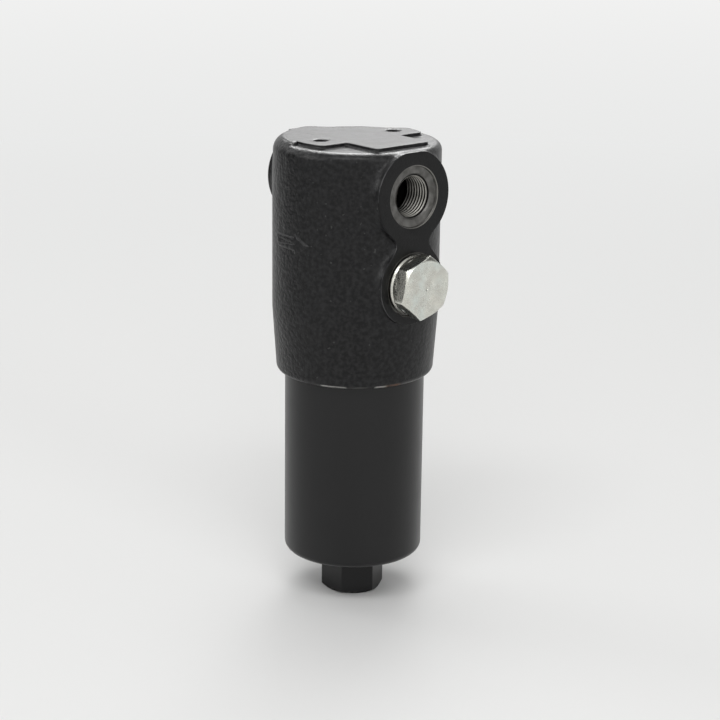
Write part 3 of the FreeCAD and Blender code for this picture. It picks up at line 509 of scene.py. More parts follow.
# The rows: the top, a broken edge, the side, and a concave foot that sinks into the crown.
pad = stacked("pad", pad_cross, (
    (-3.0, PAD_TOP), (-0.8, PAD_TOP), (-0.3, PAD_TOP), (-0.09, PAD_TOP - 0.09),
    (0.0, PAD_TOP - 0.3), (0.0, CROWN + 1.2), (0.09, CROWN + 0.78), (0.33, CROWN + 0.38),
    (0.7, CROWN + 0.12), (1.2, CROWN - 0.02), (1.4, CROWN - 0.4), (1.4, CROWN - 3.5)), PAD_COLUMNS)

# The arrow's rows say how proud they stand; the last two are below the barrel's surface.
arrow_rows = []
for level, proud in ((-1.5, 1.0), (-0.7, 1.0), (-0.35, 0.92), (0.0, 0.7), (0.3, 0.35), (0.6, 0.1),
                     (0.9, -0.4), (0.9, -3.0)):
    along, up = outline_at(flow_arrow, level, ARROW_COLUMNS, (0.0, 0.0))
    radius = barrel_radius(ARROW_UP + up) + ARROW_PROUD * proud
    angle = ARROW_ANGLE + along / HEAD_RADIUS
    arrow_rows.append(np.stack([radius * np.cos(angle), radius * np.sin(angle), ARROW_UP + up],
                               axis=-1))
arrow = closed_skin("flow_arrow", np.stack(arrow_rows))
print("pad and arrow:", len(pad.data.polygons) + len(arrow.data.polygons), "faces")

# %% [markdown]
# The bores are cut with closed tools, one for each setting of the real machining. A port's tool has
# a core, a threaded part, a chamfered mouth and a wide spotface, where a fitting's seal sits. The
# same function makes the plug's port with other sizes. The port tools carry the bare iron's finish,
# and the Boolean hands it to the faces they leave. The mounting holes are black inside, so theirs
# carry the paint.

# %% The machining tools
PORT_THREAD, THREAD_CREST, PORT_PITCH = 10.48, 9.45, 1.814
PORT_FLOOR, SPOTFACE = 40.1, 14.55
PLUG_SEAT, PLUG_SPOTFACE = 40.0, 15.1
MOUTH_CHAMFER, EDGE_BREAK, SPOTFACE_DRAFT = 0.6, 0.14, 0.35
TOOL_TOP, PORT_COLUMNS = 43.0, 126


def port_tool(name, axis, up, floor, spotface, depth, core, end):
    """The outline of a port along its own axis, then threaded between its floor and its depth."""
    bottom = floor - depth
    height, plain, _ = with_thread(
        [(end, core * 0.5), (end, core), (bottom - 0.01, core)],
        thread_rows(bottom, floor - MOUTH_CHAMFER, PORT_PITCH), PORT_THREAD,
        [(floor, PORT_THREAD + MOUTH_CHAMFER), (floor, spotface - SPOTFACE_DRAFT),
         (PORT_FACE - EDGE_BREAK, spotface), (PORT_FACE + 0.02, spotface + 3 * EDGE_BREAK),
         (TOOL_TOP, spotface + 0.6), (TOOL_TOP, spotface * 0.5)])
    wave = thread_wave(height, PORT_COLUMNS, bottom, floor - 0.3, PORT_PITCH)
    rows = zip(height, plain - wave * (PORT_THREAD - THREAD_CREST))
    return turned(name, rows, PORT_COLUMNS, axis, up)


outlet_tool = port_tool("outlet_tool", "X", PORT_UP, PORT_FLOOR, SPOTFACE,
                        depth=15.5, core=9.3, end=-8.0)
inlet_tool = port_tool("inlet_tool", "-X", PORT_UP, PORT_FLOOR, SPOTFACE,
                       depth=15.5, core=9.3, end=13.0)
plug_tool = port_tool("plug_tool", "X", PLUG_UP, PLUG_SEAT, PLUG_SPOTFACE,
                      depth=9.0, core=6.5, end=25.6)

HOLE_ROOT, HOLE_CREST, HOLE_MOUTH, HOLE_COLUMNS = 4.0, 3.35, 4.5, 48
HOLE_PITCH, HOLE_DEPTH, HOLE_SPACING = 1.25, 13.0, 45.0


def moved(tool, across, along):
    """The same tool, moved sideways by millimetres."""
    tool.data.transform(Matrix.Translation((across * MILLIMETRE, along * MILLIMETRE, 0)))
    return tool


def bolt_hole_tool(name, along):
    """A blind M8 hole from the pad's top: drill point, thread and a chamfered mouth."""
    bottom = PAD_TOP - HOLE_DEPTH
    height, plain, _ = with_thread(
        [(bottom, 0.4), (bottom + 0.55, HOLE_CREST)],
        thread_rows(bottom + 0.6, PAD_TOP - 0.4, HOLE_PITCH, 8), HOLE_ROOT,
        [(PAD_TOP, HOLE_MOUTH), (PAD_TOP + 1, HOLE_MOUTH + 1), (PAD_TOP + 1, 1.0)])
    wave = thread_wave(height, HOLE_COLUMNS, bottom, PAD_TOP - 0.1, HOLE_PITCH)
    rows = zip(height, plain - wave * (HOLE_ROOT - HOLE_CREST))
    return moved(turned(name, rows, HOLE_COLUMNS), 0.0, along)


hole_tools = [bolt_hole_tool("front_hole_tool", -HOLE_SPACING / 2),
              bolt_hole_tool("back_hole_tool", HOLE_SPACING / 2)]
print("port tools:", len(outlet_tool.data.polygons), "faces each, about")

# %% [markdown]
# From below, one long tool clears the space for the bowl: the skirt, the thread, the smooth bore
# that the bowl's seal runs in, and the chamber over the filter element. Four small tools finish
# the way of the oil: the spigot's hole, the inlet's way down to the chamber, and the two drillings
# that let the pressure reach the plug.

# %% The bowl's cavity and the oil ways
SIDE_TOP, THREAD_TOP, SEAL_START = 118.2, 138.5, 140.15
SKIRT_BORE, HEAD_THREAD, SEAL_BORE, THREAD_HEIGHT, BOWL_PITCH = 34.5, 32.6, 30.95, 1.0, 2.0
CHAMBER_LOW, CHAMBER_RADIUS, WEB_LOW = 151.0, 23.0, 187.0
CAVITY_COLUMNS, WAY_COLUMNS, DRILL_COLUMNS = 180, 64, 16
WEB_CUT, CLEAN_DRILL, DIRTY_DRILL, DRILL_END = (186.0, 204.0), (164.0, 203.0), (18.0, 31.5), 0.5
SPIGOT_BORE, DRILLING, CLEAN_ACROSS, DIRTY_ALONG = 8.05, 1.0, 27.2, 8.3
WAY_HALF_WIDTH, WAY_START, WAY_MIDDLE = 9.0, -13.0, -17.0

height, plain, _ = with_thread(
    [(HEAD_FOOT - 1.2, 20.0), (HEAD_FOOT - 1.2, SKIRT_BORE + 0.5), (HEAD_FOOT, SKIRT_BORE + 0.2),
     (HEAD_FOOT + 0.2, SKIRT_BORE), (SIDE_TOP - 0.01, SKIRT_BORE)],
    thread_rows(SIDE_TOP, THREAD_TOP, BOWL_PITCH, 8), HEAD_THREAD,
    [(SEAL_START, SEAL_BORE), (CHAMBER_LOW, SEAL_BORE), (CHAMBER_LOW, CHAMBER_RADIUS),
     (WEB_LOW, CHAMBER_RADIUS), (WEB_LOW, 10.0)])
wave = thread_wave(height, CAVITY_COLUMNS, SIDE_TOP, THREAD_TOP, BOWL_PITCH)
cavity_tool = turned("cavity_tool", zip(height, plain - wave * THREAD_HEIGHT), CAVITY_COLUMNS)


def drill(name, ends, radius, inner, columns, axis="Z", up=0.0):
    """A plain cylinder between two heights, each end closed from a loop of radius `inner`."""
    low, high = ends
    rows = [(low, inner), (low, radius), (high, radius), (high, inner)]
    return turned(name, rows, columns, axis, up)


def inlet_way(across, along):
    """Distance to the part of the chamber's circle that lies beyond a line and in a strip."""
    strip = np.maximum(np.abs(along) - WAY_HALF_WIDTH, across - WAY_START)
    return np.maximum(np.hypot(across, along) - (CHAMBER_RADIUS - 0.05), strip)


spigot_tool = drill("spigot_tool", WEB_CUT, SPIGOT_BORE, 4.0, WAY_COLUMNS)
clean_tool = drill("clean_tool", CLEAN_DRILL, DRILLING, DRILL_END, DRILL_COLUMNS)
dirty_tool = drill("dirty_tool", DIRTY_DRILL, DRILLING, DRILL_END, DRILL_COLUMNS, "X", PLUG_UP)
moved(clean_tool, CLEAN_ACROSS, 0.0)
moved(dirty_tool, 0.0, DIRTY_ALONG)
inlet_way_tool = stacked("inlet_way_tool", inlet_way, [(0.0, height) for height in WEB_CUT],
                         WAY_COLUMNS, (WAY_MIDDLE, 0.0))
print("cavity tool:", len(cavity_tool.data.polygons), "faces")

# %% [markdown]
# The bowl is one turned piece whose foot is a hexagon. Round a circle, a hexagon is only a radius
# that varies with the angle, so the same lathe function makes the foot and the tube. Its corners
# are softened by a power mean of its six flats in place of the nearest one. The lower edge is
# chamfered as a spanner hexagon is: a cone cuts the corners more than the flats.

# %% The bowl
BOWL_RADIUS, BOWL_TOP, BOWL_BORE, INNER_FLOOR = 34.0, 150.3, 26.5, 31.0
FOOT_HEIGHT, FOOT_FLAT, FOOT_CHAMFER, FOOT_SOFTNESS = 21.3, 13.5, 13.16, 150
CORNER_ROUND, FLOOR_ROUND, FOOT_FILLET = 3.5, 6.0, 0.9
THREAD_ROOT, NOSE_RADIUS, NOSE_CHAMFER = 31.3, 30.85, 0.6
CHAMFER_SLOPE = math.tan(math.radians(30))
GROOVE_LOW, GROOVE_HIGH, GROOVE_FLOOR = 142.6, 147.0, 28.55
BOWL_COLUMNS = 240


def hexagon_radius(angle, flat, softness):
    """The radius of a hexagon with corners at 0, 60 ... degrees: flat / (sum of
    max(0, cos(angle - direction of a flat)) ** softness) ** (1 / softness)."""
    flats = np.radians(30 + 60 * np.arange(6))
    share = np.maximum(np.cos(angle[..., None] - flats), 0) ** softness
    return flat / share.sum(axis=-1) ** (1 / softness)


foot = hexagon_radius(once_round(BOWL_COLUMNS), FOOT_FLAT, FOOT_SOFTNESS)
foot_low = (foot - FOOT_CHAMFER) * CHAMFER_SLOPE
foot_rows = [(0.0, 6.0), (0.0, 12.9), (0.01, FOOT_CHAMFER)]
for share in (0.3, 0.6, 0.85):
    foot_rows.append((foot_low * share, FOOT_CHAMFER + (foot - FOOT_CHAMFER) * share))
for drop, rise in ((0.10, 0.0), (0.02, 0.1), (0.0, 0.35)):
    foot_rows.append((foot_low + rise, foot - drop))
for share in (0.15, 0.5, 0.85):
    foot_rows.append((foot_low + (FOOT_HEIGHT - FOOT_FILLET - foot_low) * share, foot))
for turn in np.radians(np.linspace(0, 90, 6)):
    foot_rows.append((FOOT_HEIGHT - FOOT_FILLET * (1 - math.sin(turn)),
                      foot + FOOT_FILLET * (1 - math.cos(turn))))

side_rows = divided(rounded_outline(
    (FOOT_HEIGHT, 18.0), (FOOT_HEIGHT, BOWL_RADIUS, CORNER_ROUND),
    (SIDE_TOP, BOWL_RADIUS, 0.25), (SIDE_TOP, THREAD_ROOT), facets=8), 4.0)
nose_rows = rounded_outline(
    (THREAD_TOP, NOSE_RADIUS), (GROOVE_LOW, NOSE_RADIUS, 0.15), (GROOVE_LOW, GROOVE_FLOOR, 0.3),
    (GROOVE_HIGH, GROOVE_FLOOR, 0.3), (GROOVE_HIGH, NOSE_RADIUS, 0.15),
    (BOWL_TOP - NOSE_CHAMFER, NOSE_RADIUS), (BOWL_TOP, NOSE_RADIUS - NOSE_CHAMFER),
    (BOWL_TOP, BOWL_BORE + NOSE_CHAMFER), (BOWL_TOP - NOSE_CHAMFER, BOWL_BORE),
    (INNER_FLOOR, BOWL_BORE, FLOOR_ROUND), (INNER_FLOOR, 3.0), facets=6)
height, plain, on_thread = with_thread(
    side_rows, thread_rows(SIDE_TOP + 0.02, THREAD_TOP - 0.6, BOWL_PITCH, 8), THREAD_ROOT,
    nose_rows)
wave = thread_wave(height, BOWL_COLUMNS, SIDE_TOP, THREAD_TOP, BOWL_PITCH, OUT_OF_STEP)
tube_rows = zip(height, plain + wave * on_thread * THREAD_HEIGHT)
bowl = turned("bowl_finish", [*foot_rows, *tube_rows], BOWL_COLUMNS)
print("bowl:", len(bowl.data.polygons), "faces")

# %% [markdown]
# The plug is made the same way, lying along X: nose, seal groove, thread, a thin flange with a
# chamfered rim, a round collar and the hexagon. Its outer end is chamfered by a cone, so the end
# face is a circle that touches all six flats, with a small centre mark from the lathe.

# %% The indicator port's plug
NOSE_END, PLUG_SHOULDER, FLANGE_FACE, HEXAGON_FACE, PLUG_END = 27.6, 31.5, 41.0, 44.2, 51.0
PLUG_NOSE, PLUG_GROOVE, PLUG_GROOVE_START, PLUG_GROOVE_END = 6.4, 5.2, 28.6, 30.5
PLUG_ROOT, PLUG_CREST, FLANGE_RADIUS, END_RADIUS = 9.3, 10.3, 14.2, 13.3
PLUG_THREAD_START, PLUG_COLUMNS, HEXAGON_TURN = 31.0, 192, math.radians(20.2)
COLLAR_START, COLLAR_RADIUS, HEXAGON_SOFTNESS = 42.45, 13.65, 110

hexagon = hexagon_radius(once_round(PLUG_COLUMNS) - HEXAGON_TURN, FOOT_FLAT, HEXAGON_SOFTNESS)
inner = rounded_outline(
    (NOSE_END, 2.0), (NOSE_END, PLUG_NOSE, 0.4), (PLUG_GROOVE_START, PLUG_NOSE, 0.1),
    (PLUG_GROOVE_START, PLUG_GROOVE, 0.2), (PLUG_GROOVE_END, PLUG_GROOVE, 0.2),
    (PLUG_GROOVE_END, PLUG_NOSE, 0.1), (PLUG_SHOULDER, PLUG_NOSE), (PLUG_SHOULDER, 8.5),
    (PLUG_SHOULDER + 0.8, PLUG_ROOT), facets=4)
outer = rounded_outline(
    (FLANGE_FACE - 1.2, PLUG_ROOT), (FLANGE_FACE, PLUG_ROOT + 0.2),
    (FLANGE_FACE, FLANGE_RADIUS, 0.12), (FLANGE_FACE + 0.45, FLANGE_RADIUS, 0.5),
    (COLLAR_START, COLLAR_RADIUS, 0.5), (HEXAGON_FACE, COLLAR_RADIUS - 0.03), facets=5)
height, plain, on_thread = with_thread(
    inner, thread_rows(PLUG_SHOULDER + 0.8, FLANGE_FACE - 1.2, PORT_PITCH), PLUG_ROOT, outer)
wave = thread_wave(height, PLUG_COLUMNS, PLUG_THREAD_START, FLANGE_FACE - 0.8, PORT_PITCH,
                   OUT_OF_STEP)
shank_rows = zip(height, plain + wave * on_thread * (PLUG_CREST - PLUG_ROOT))

chamfer = PLUG_END - (hexagon - END_RADIUS) * CHAMFER_SLOPE
hexagon_rows = [(HEXAGON_FACE + 0.02, np.minimum(hexagon + 0.1, COLLAR_RADIUS - 0.05)),
                (HEXAGON_FACE + 0.1, hexagon - 0.02), (HEXAGON_FACE + 0.4, hexagon)]
for share in (0.25, 0.6, 0.92):
    hexagon_rows.append((HEXAGON_FACE + 0.4 + (chamfer - 0.4 - HEXAGON_FACE) * share, hexagon))
hexagon_rows += [(chamfer - 0.12, hexagon - 0.02), (chamfer - 0.01, hexagon - 0.1)]
for share in (0.75, 0.5, 0.25, 0.05):
    hexagon_rows.append((PLUG_END + (chamfer - PLUG_END) * share,
                         END_RADIUS + (hexagon - END_RADIUS) * share))
for up, out in ((0.0, 13.0), (0.0, 8.0), (0.0, 2.0), (0.0, 0.85), (-0.08, 0.7), (-0.5, 0.08)):
    hexagon_rows.append((PLUG_END + up, out))
plug = turned("indicator_plug_finish", [*shank_rows, *hexagon_rows], PLUG_COLUMNS, "X", PLUG_UP)
print("plug:", len(plug.data.polygons), "faces")

# %% [markdown]
# Now the finishes. The head's paint is a thin satin black over sand-cast iron. Three sizes of noise
# make its skin: an orange peel of about one millimetre, lumps of several millimetres from the sand
# mould, and fine grains that sparkle. The peel is coarser at the front left. Machined faces were
# painted over too, and are much flatter. The rims of the bosses get a painted highlight, a lighter
# colour in patches. The foot of the head gets a painted highlight on two arcs of its lip, made as
# bare bright iron, with faint bare spots round the rest, and one place has some rust. A mask is a
# Wire between 0 and 1: times keeps what both masks have, and | keeps what either has.

# %% Paint on the casting
PORT_MACHINED, PAD_MACHINED = (0.0408, 0.0409), (0.2282, 0.2284)
RIM_START, RIM_END, RIM_SOFT = 0.04035, 0.0409, 0.00015
LIP_HIGHLIGHT_ARCS, LIP_ARC_SOFT, LIP_BAND_UP = ((-1.16, -0.80), (-0.46, -0.27)), 0.04, (0.1153, 0.1148)
RUSTY_ARC, RUSTY_UP = (-0.34, -0.07, 0.08, 0.05), (0.1157, 0.1149)
LEFT = (-0.656, -0.755)
BARE_IRON, PAINTED_RIM_HIGHLIGHT, RUST = (0.55, 0.54, 0.52), (0.065, 0.065, 0.067), (0.085, 0.040, 0.020)


def position(wire):
    """The point being shaded, in metres, and its three coordinates."""
    point = wire.node("TexCoord", out="Object")
    x = point.node("SeparateXYZ", Vector=point)
    return point, x, x.other("Y"), x.other("Z")


def noise(point, size, detail=2.0):
    """Even noise with features of about `size` metres."""
    return point.node("TexNoise", out="Fac", Vector=point, Scale=0.6 / size, Detail=detail)


def bump(height, distance, strength=1.0, under=None):
    """The normal of a surface raised by a height from 0 to 1, times a distance in metres."""
    more = {"Normal": under} if under else {}
    return height.node("Bump", out="Normal", Height=height, Distance=distance, Strength=strength,
                       **more)


def cast_paint(wire):
    point, x, y, z = position(wire)
    machined = abs(x).between(*PORT_MACHINED) | z.between(*PAD_MACHINED)
    cast = 1 - machined * 0.85
    black = noise(point, 0.0011, 3.0).between(0.38, 0.68).towards((0.0006, 0.0006, 0.0010),
                                                                  (0.0120, 0.0120, 0.0126))
    black = cast.towards((0.0015, 0.0015, 0.0017), black)
    speckle = noise(point, 0.0009, 0.0).between(0.80, 0.84) * cast
    black = speckle.towards(black, (0.03, 0.03, 0.03))
    # Painted highlight: a lighter colour in patches along the rims of the bosses.
    rim = abs(x).inside(RIM_START, RIM_END, RIM_SOFT, RIM_SOFT)
    black = (rim * noise(point, 0.007).between(0.42, 0.56)).towards(black, PAINTED_RIM_HIGHLIGHT)

    # Painted highlight: bare bright iron on two arcs of the head's lip, with faint bare spots round
    # the rest.
    angle = y.math("ARCTAN2", y, x)
    wear_and_lip_highlight = noise(point, 0.008).between(0.55, 0.7) * 0.12
    for low, high in LIP_HIGHLIGHT_ARCS:
        wear_and_lip_highlight = wear_and_lip_highlight | angle.inside(low, high, LIP_ARC_SOFT, LIP_ARC_SOFT)
    wear_and_lip_highlight = wear_and_lip_highlight * z.between(*LIP_BAND_UP)
    rusty = angle.inside(*RUSTY_ARC) * z.between(*RUSTY_UP) * noise(point, 0.003).between(0.36, 0.5)
    black = rusty.towards(wear_and_lip_highlight.towards(black, BARE_IRON), RUST)

    coarse = 0.4 + (x * LEFT[0] + y * LEFT[1]).between(0.005, 0.032) * 0.8
    skin = bump(noise(point, 0.0055) * cast, 0.0003)
    peel = noise(point, 0.0011, 1.5) * cast * coarse
    skin = bump(peel + noise(point, 0.00045, 1.0) * 0.2, 0.0004, under=skin)
    return {
        "Base_Color": black,
        "Roughness": 0.30 + noise(point, 0.003) * 0.14 + machined * 0.04,
        "Metallic": wear_and_lip_highlight * (1 - rusty),
        "Normal": skin,
    }


head_paint = finish("cast_paint", cast_paint, Specular_IOR_Level=0.31, IOR=1.45)
print("cast paint:", len(head_paint.node_tree.nodes), "nodes")

# %% [markdown]
# Where the tools cut, the iron is bare. A face turned with one sharp point is a fine spiral, seen
# as rings round the axis of its bore, so the marks are a sine of the distance from that axis. A
# little noise breaks them up and makes some darker, as oil does. Light and shade in a port's thread
# are painted: a painted highlight on the crests near the mouth, and painted shade in the grooves
# and deeper in. Turned steel, as on the spigot inside, has the same marks along Z.

# %% Bare turned metal
PORT_AXIS, PLUG_AXIS = PORT_UP * MILLIMETRE, PLUG_UP * MILLIMETRE
BETWEEN_PORTS, SPOTFACE_OUT, EDGE_OUT = (0.1844, 0.1846), (0.0395, 0.0396), (0.04084, 0.04087)
BORE_OUT, CREST_RADIUS = (0.0235, 0.0396, 0.001, 0.0002), (0.0100, 0.0096)


def ring_marks(point, distance, pitch):
    """0 to 1 over each turning mark; the marks wander and fade a little with noise."""
    marks = distance * (2 * math.pi / pitch) + noise(point, 0.01) * 3.0
    return (marks.math("SINE", marks) * 0.5 + 0.5) * noise(point, 0.0022).between(0.2, 0.7)


def length_of(a, b):
    """The distance from an axis, from two coordinates across it."""
    return (a * a + b * b) ** 0.5


def machined_iron(wire):
    point, x, y, z = position(wire)
    upper = z.between(*BETWEEN_PORTS)
    from_axis = length_of(y, z - (PLUG_AXIS + upper * (PORT_AXIS - PLUG_AXIS)))
    rings = ring_marks(point, from_axis, 0.00028)
    film = noise(point, 0.003, 3.0)
    dull = film.between(0.35, 0.65).towards((0.095, 0.093, 0.088), (0.17, 0.167, 0.16))
    # Painted light and shade: bright crests near the mouth, dark grooves, and darker deeper in the
    # bore.
    crest = from_axis.between(*CREST_RADIUS) * abs(x).between(0.024, 0.036)
    thread = crest.towards((0.008, 0.008, 0.008), (0.40, 0.39, 0.36))
    colour = (abs(x).inside(*BORE_OUT) * upper).towards(dull, thread)
    # Painted highlight: a lighter colour on one side of the upper port's spotface edge.
    edge = abs(x).between(*EDGE_OUT) * upper * y.between(-0.004, 0.004)
    return {
        "Base_Color": edge.towards(colour, (0.22, 0.215, 0.20)),
        "Roughness": 0.30 + film * 0.16,
        "Normal": bump(rings * abs(x).between(*SPOTFACE_OUT), 0.00002, 0.8),
    }


def turned_steel(wire):
    point, x, y, z = position(wire)
    rings = ring_marks(point, z, 0.00035)
    return {
        "Base_Color": noise(point, 0.004).towards((0.42, 0.41, 0.40), (0.56, 0.555, 0.54)),
        "Roughness": 0.26 + rings * 0.12,
        "Normal": bump(rings, 0.000015, 0.6),
    }


port_iron = finish("machined_iron", machined_iron, Metallic=1.0)
steel = finish("turned_steel", turned_steel, Metallic=1.0)
print("machined iron:", len(port_iron.node_tree.nodes), "nodes")

# %% [markdown]
# The bowl's paint lies on a drawn and turned tube, so it is far smoother than the head's. It shows
# soft upright bands of light with a faint ripple. Above its shoulder the tube is bare steel, where
# the thread and the seal are. The mask is the height alone, because both finishes meet at a ring.

# %% Paint on the bowl
SHOULDER_UP, WORN_FOOT_UP = (0.1186, 0.1182), (0.0016, 0.0004)


def bowl_paint(wire):
    point, x, y, z = position(wire)
    painted = z.between(*SHOULDER_UP)
    marks = ring_marks(point, z, 0.0004)
    black = noise(point, 0.03).towards((0.0045, 0.0045, 0.0048), (0.008, 0.008, 0.0083))
    # Lighter wear on the lower edge of the foot, where it stands.
    wear_and_lip_highlight = noise(point, 0.0025, 3.0).between(0.62, 0.7) * z.between(*WORN_FOOT_UP)
    black = wear_and_lip_highlight.towards(black, (0.12, 0.115, 0.11))
    metal = noise(point, 0.004).towards((0.36, 0.355, 0.34), (0.5, 0.49, 0.47))
    skin = bump(noise(point, 0.011, 1.5), 0.00010)
    fine = noise(point, 0.0009) * painted + marks * (1 - painted) * 0.4
    skin = bump(fine, 0.00003, 0.7, skin)
    return {
        "Base_Color": painted.towards(metal, black),
        "Roughness": 0.30 + noise(point, 0.006) * 0.08,
        "Metallic": 1 - painted,
        "Normal": skin,
    }


bowl_black = finish("bowl_paint", bowl_paint, Specular_IOR_Level=0.38, IOR=1.45)
print("bowl paint:", len(bowl_black.node_tree.nodes), "nodes")

# %% [markdown]
# The plug is zinc plated. Fresh zinc is a bright, slightly warm grey that is never evenly bright:
# the plating has fine crystals, and its passivation leaves a faint tint that drifts between yellow
# and green. The turning marks of the steel below still show on the end face and the chamfer.

# %% Zinc and the other finishes
END_OUT = (0.0496, 0.0498)


def zinc(wire):
    point, x, y, z = position(wire)
    rings = ring_marks(point, length_of(y, z - PLUG_AXIS), 0.00032)
    crystals = noise(point, 0.0006)
    tint = noise(point, 0.006).between(0.35, 0.65)
    colour = tint.towards((0.74, 0.73, 0.66), (0.66, 0.70, 0.66))
    colour = noise(point, 0.0028, 3.0).between(0.3, 0.7).towards((0.58, 0.57, 0.52), colour)
    return {
        "Base_Color": colour,
        "Roughness": 0.19 + crystals * 0.10 + noise(point, 0.004) * 0.08,
        "Normal": bump(rings * x.between(*END_OUT) + crystals * 0.25, 0.00002, 0.8),
    }


def drifting(first, second, size, roughness):
    """A finish that drifts between two colours over `size`, with a fine relief."""
    def make(wire):
        point = position(wire)[0]
        drift = noise(point, size, 3.0)
        return {"Base_Color": drift.towards(first, second),
                "Roughness": roughness + drift * 0.1,
                "Normal": bump(noise(point, size * 0.2), 0.00001, 0.6)}
    return make


def amber(wire):
    """A flat ring with painted shade: dark all round, and amber only at the bottom, where light
    reaches it.
    """
    point, x, y, z = position(wire)
    down = (PLUG_AXIS - z) / length_of(y, z - PLUG_AXIS)
    # Painted shade: the ring is dark except at its bottom.
    lit_below = down.between(0.88, 0.97)
    return {"Base_Color": lit_below.towards((0.012, 0.009, 0.006), (0.42, 0.21, 0.03)),
            "Roughness": 0.35 + noise(point, 0.002) * 0.1}


def fleece(wire):
    """Pressed fibres: fine noise stretched along each pleat, over a resin's warm tint."""
    point = position(wire)[0]
    stretched = point.node("Mapping", out="Vector", Vector=point, Scale=(1.0, 1.0, 0.25))
    fibres = noise(stretched, 0.0004, 3.0)
    return {"Base_Color": fibres.towards((0.72, 0.66, 0.50), (0.88, 0.84, 0.72)),
            "Roughness": 0.8 + fibres * 0.15,
            "Normal": bump(fibres, 0.00008, 0.7)}


FINISHES = {
    "zinc_plate": finish("zinc_plate", zinc, Metallic=1.0),
    "turned_steel": steel,
    "amber_seal": finish("amber_seal", amber),
    "filter_media": finish("filter_media", fleece),
}
for name, first, second, size, roughness, metallic in (
        ("spring_steel", (0.26, 0.25, 0.24), (0.42, 0.41, 0.40), 0.002, 0.24, 1.0),
        ("cap_plate", (0.62, 0.60, 0.52), (0.72, 0.70, 0.62), 0.004, 0.28, 1.0),
        ("black_rubber", (0.010, 0.010, 0.011), (0.022, 0.022, 0.023), 0.002, 0.42, 0.0),
        ("white_plastic", (0.78, 0.78, 0.75), (0.86, 0.86, 0.83), 0.003, 0.36, 0.0)):
    FINISHES[name] = finish(name, drifting(first, second, size, roughness), Metallic=metallic)
print("finishes:", ", ".join(sorted(FINISHES)))

# %% [markdown]
# Joining and cutting is left to the Boolean modifier with its Manifold solver, which is fast and
# exact for closed skins like these. With material transfer the cut faces keep the tool's finish.
# The result is shaded smooth, except where two faces meet at a clear angle, and its normals are
# weighted by area, so that large flat faces stay flat right up to their rounded rims.

# %% Joining and cutting the head
SHARP_ANGLE = math.radians(34)


def apply_modifiers(piece):
    """Puts the mesh that a piece's modifiers make in the place of its own."""
    bpy.context.view_layer.update()
    graph = bpy.context.evaluated_depsgraph_get()
    mesh = bpy.data.meshes.new_from_object(piece.evaluated_get(graph), depsgraph=graph,
                                           preserve_all_data_layers=True)
    piece.modifiers.clear()
    old, piece.data = piece.data, mesh
    bpy.data.meshes.remove(old)
    mesh.name = piece.name


def settle(piece):
    """Applies a piece's modifiers, then shades it smooth with sharp edges and weighted normals."""
    apply_modifiers(piece)
    piece.data.shade_smooth()
    piece.data.set_sharp_from_angle(angle=SHARP_ANGLE)
    piece.modifiers.new("weighted_normals", "WEIGHTED_NORMAL").keep_sharp = True
    apply_modifiers(piece)


def combine(piece, operation, tools):
    """Adds one Boolean for each tool; `settle` applies them."""
    for tool in tools:
        boolean = piece.modifiers.new(tool.name, "BOOLEAN")
        boolean.operation, boolean.object = operation, tool
        boolean.solver, boolean.material_mode = "MANIFOLD", "TRANSFER"


additions = [outlet_boss, inlet_boss, pad, arrow]
tools = [cavity_tool, outlet_tool, inlet_tool, plug_tool, *hole_tools, spigot_tool,
         inlet_way_tool, clean_tool, dirty_tool]
for piece in [barrel] + additions:
    piece.data.materials.append(head_paint)
for tool in tools:
    tool.data.materials.append(head_paint if tool in hole_tools else port_iron)
combine(barrel, "UNION", additions)
combine(barrel, "DIFFERENCE", tools)
settle(barrel)
for used in additions + tools:
    bpy.data.objects.remove(used)
print("head:", len(barrel.data.vertices), "points,",
      sum(len(face.vertices) - 2 for face in barrel.data.polygons), "triangles")

# %% [markdown] Each new piece hides the CAD node that it stands in for, and is attached to the body
# that it moves with. The CAD nodes inside the filter are already as detailed as they need to be, so
# they keep their shapes and only get a finish.

# %% Bodies and finishes
bowl.data.materials.append(bowl_black)
plug.data.materials.append(FINISHES["zinc_plate"])
settle(bowl)
settle(plug)
for piece, node, body, slot in ((barrel, "head_casting", "head", "cast_head"),
                                (bowl, "bowl", "bowl", "bowl_black"),
                                (plug, "indicator_plug", "plug", "zinc_plate")):
    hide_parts(node)
    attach(piece, body)

spring = placed("bypass_spring_finish", nodes["bypass_spring"].data.copy())
spring.data.materials.clear()
spring.data.materials.append(FINISHES["spring_steel"])
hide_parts("bypass_spring")
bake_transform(spring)

NODE_FINISHES = {
    "turned_steel": ["outlet_spigot", "bypass_housing", "bypass_poppet"],
    "spring_steel": ["bypass_circlip", "bypass_spring_plate"],
    "cap_plate": ["element_top_cap", "element_bottom_cap", "element_core_tube",
                  "element_seam_clip", "element_sleeve"],
    "black_rubber": ["spigot_seal", "bowl_o_ring", "element_o_ring", "plug_nose_o_ring"],
    "amber_seal": ["plug_seal_ring"],
    "white_plastic": ["bowl_backup_ring"],
    "filter_media": ["element_media"],
}
for slot, names in NODE_FINISHES.items():
    for name in names:
        nodes[name].data.materials.clear()
        nodes[name].data.materials.append(FINISHES[slot])
print("dressed", sum(map(len, NODE_FINISHES.values())), "CAD nodes and 4 new pieces")

# %% [markdown]
# The photograph has a plain pale ground with no horizon and one soft shadow under the filter. A
# very wide floor does that: from this height its far edge lies above the picture. Near the filter
# it is matt, so that it takes the shadow, and further off it glows evenly. It is darker far to the
# left for mirror rays only, which keeps that side of the black paint black.

# %% The floor
FLOOR_RADIUS, FIRST_RING, FLOOR_RINGS, FLOOR_COLUMNS = 10.0, 0.02, 10, 96
DARK_WAY, DARK_WIDTH, DARK_AWAY = (-0.77, -0.64), (0.72, 0.90), (0.8, 1.8)
GLOW_AWAY, PALER_AWAY = (0.45, 1.3), (0.8, 3.0)


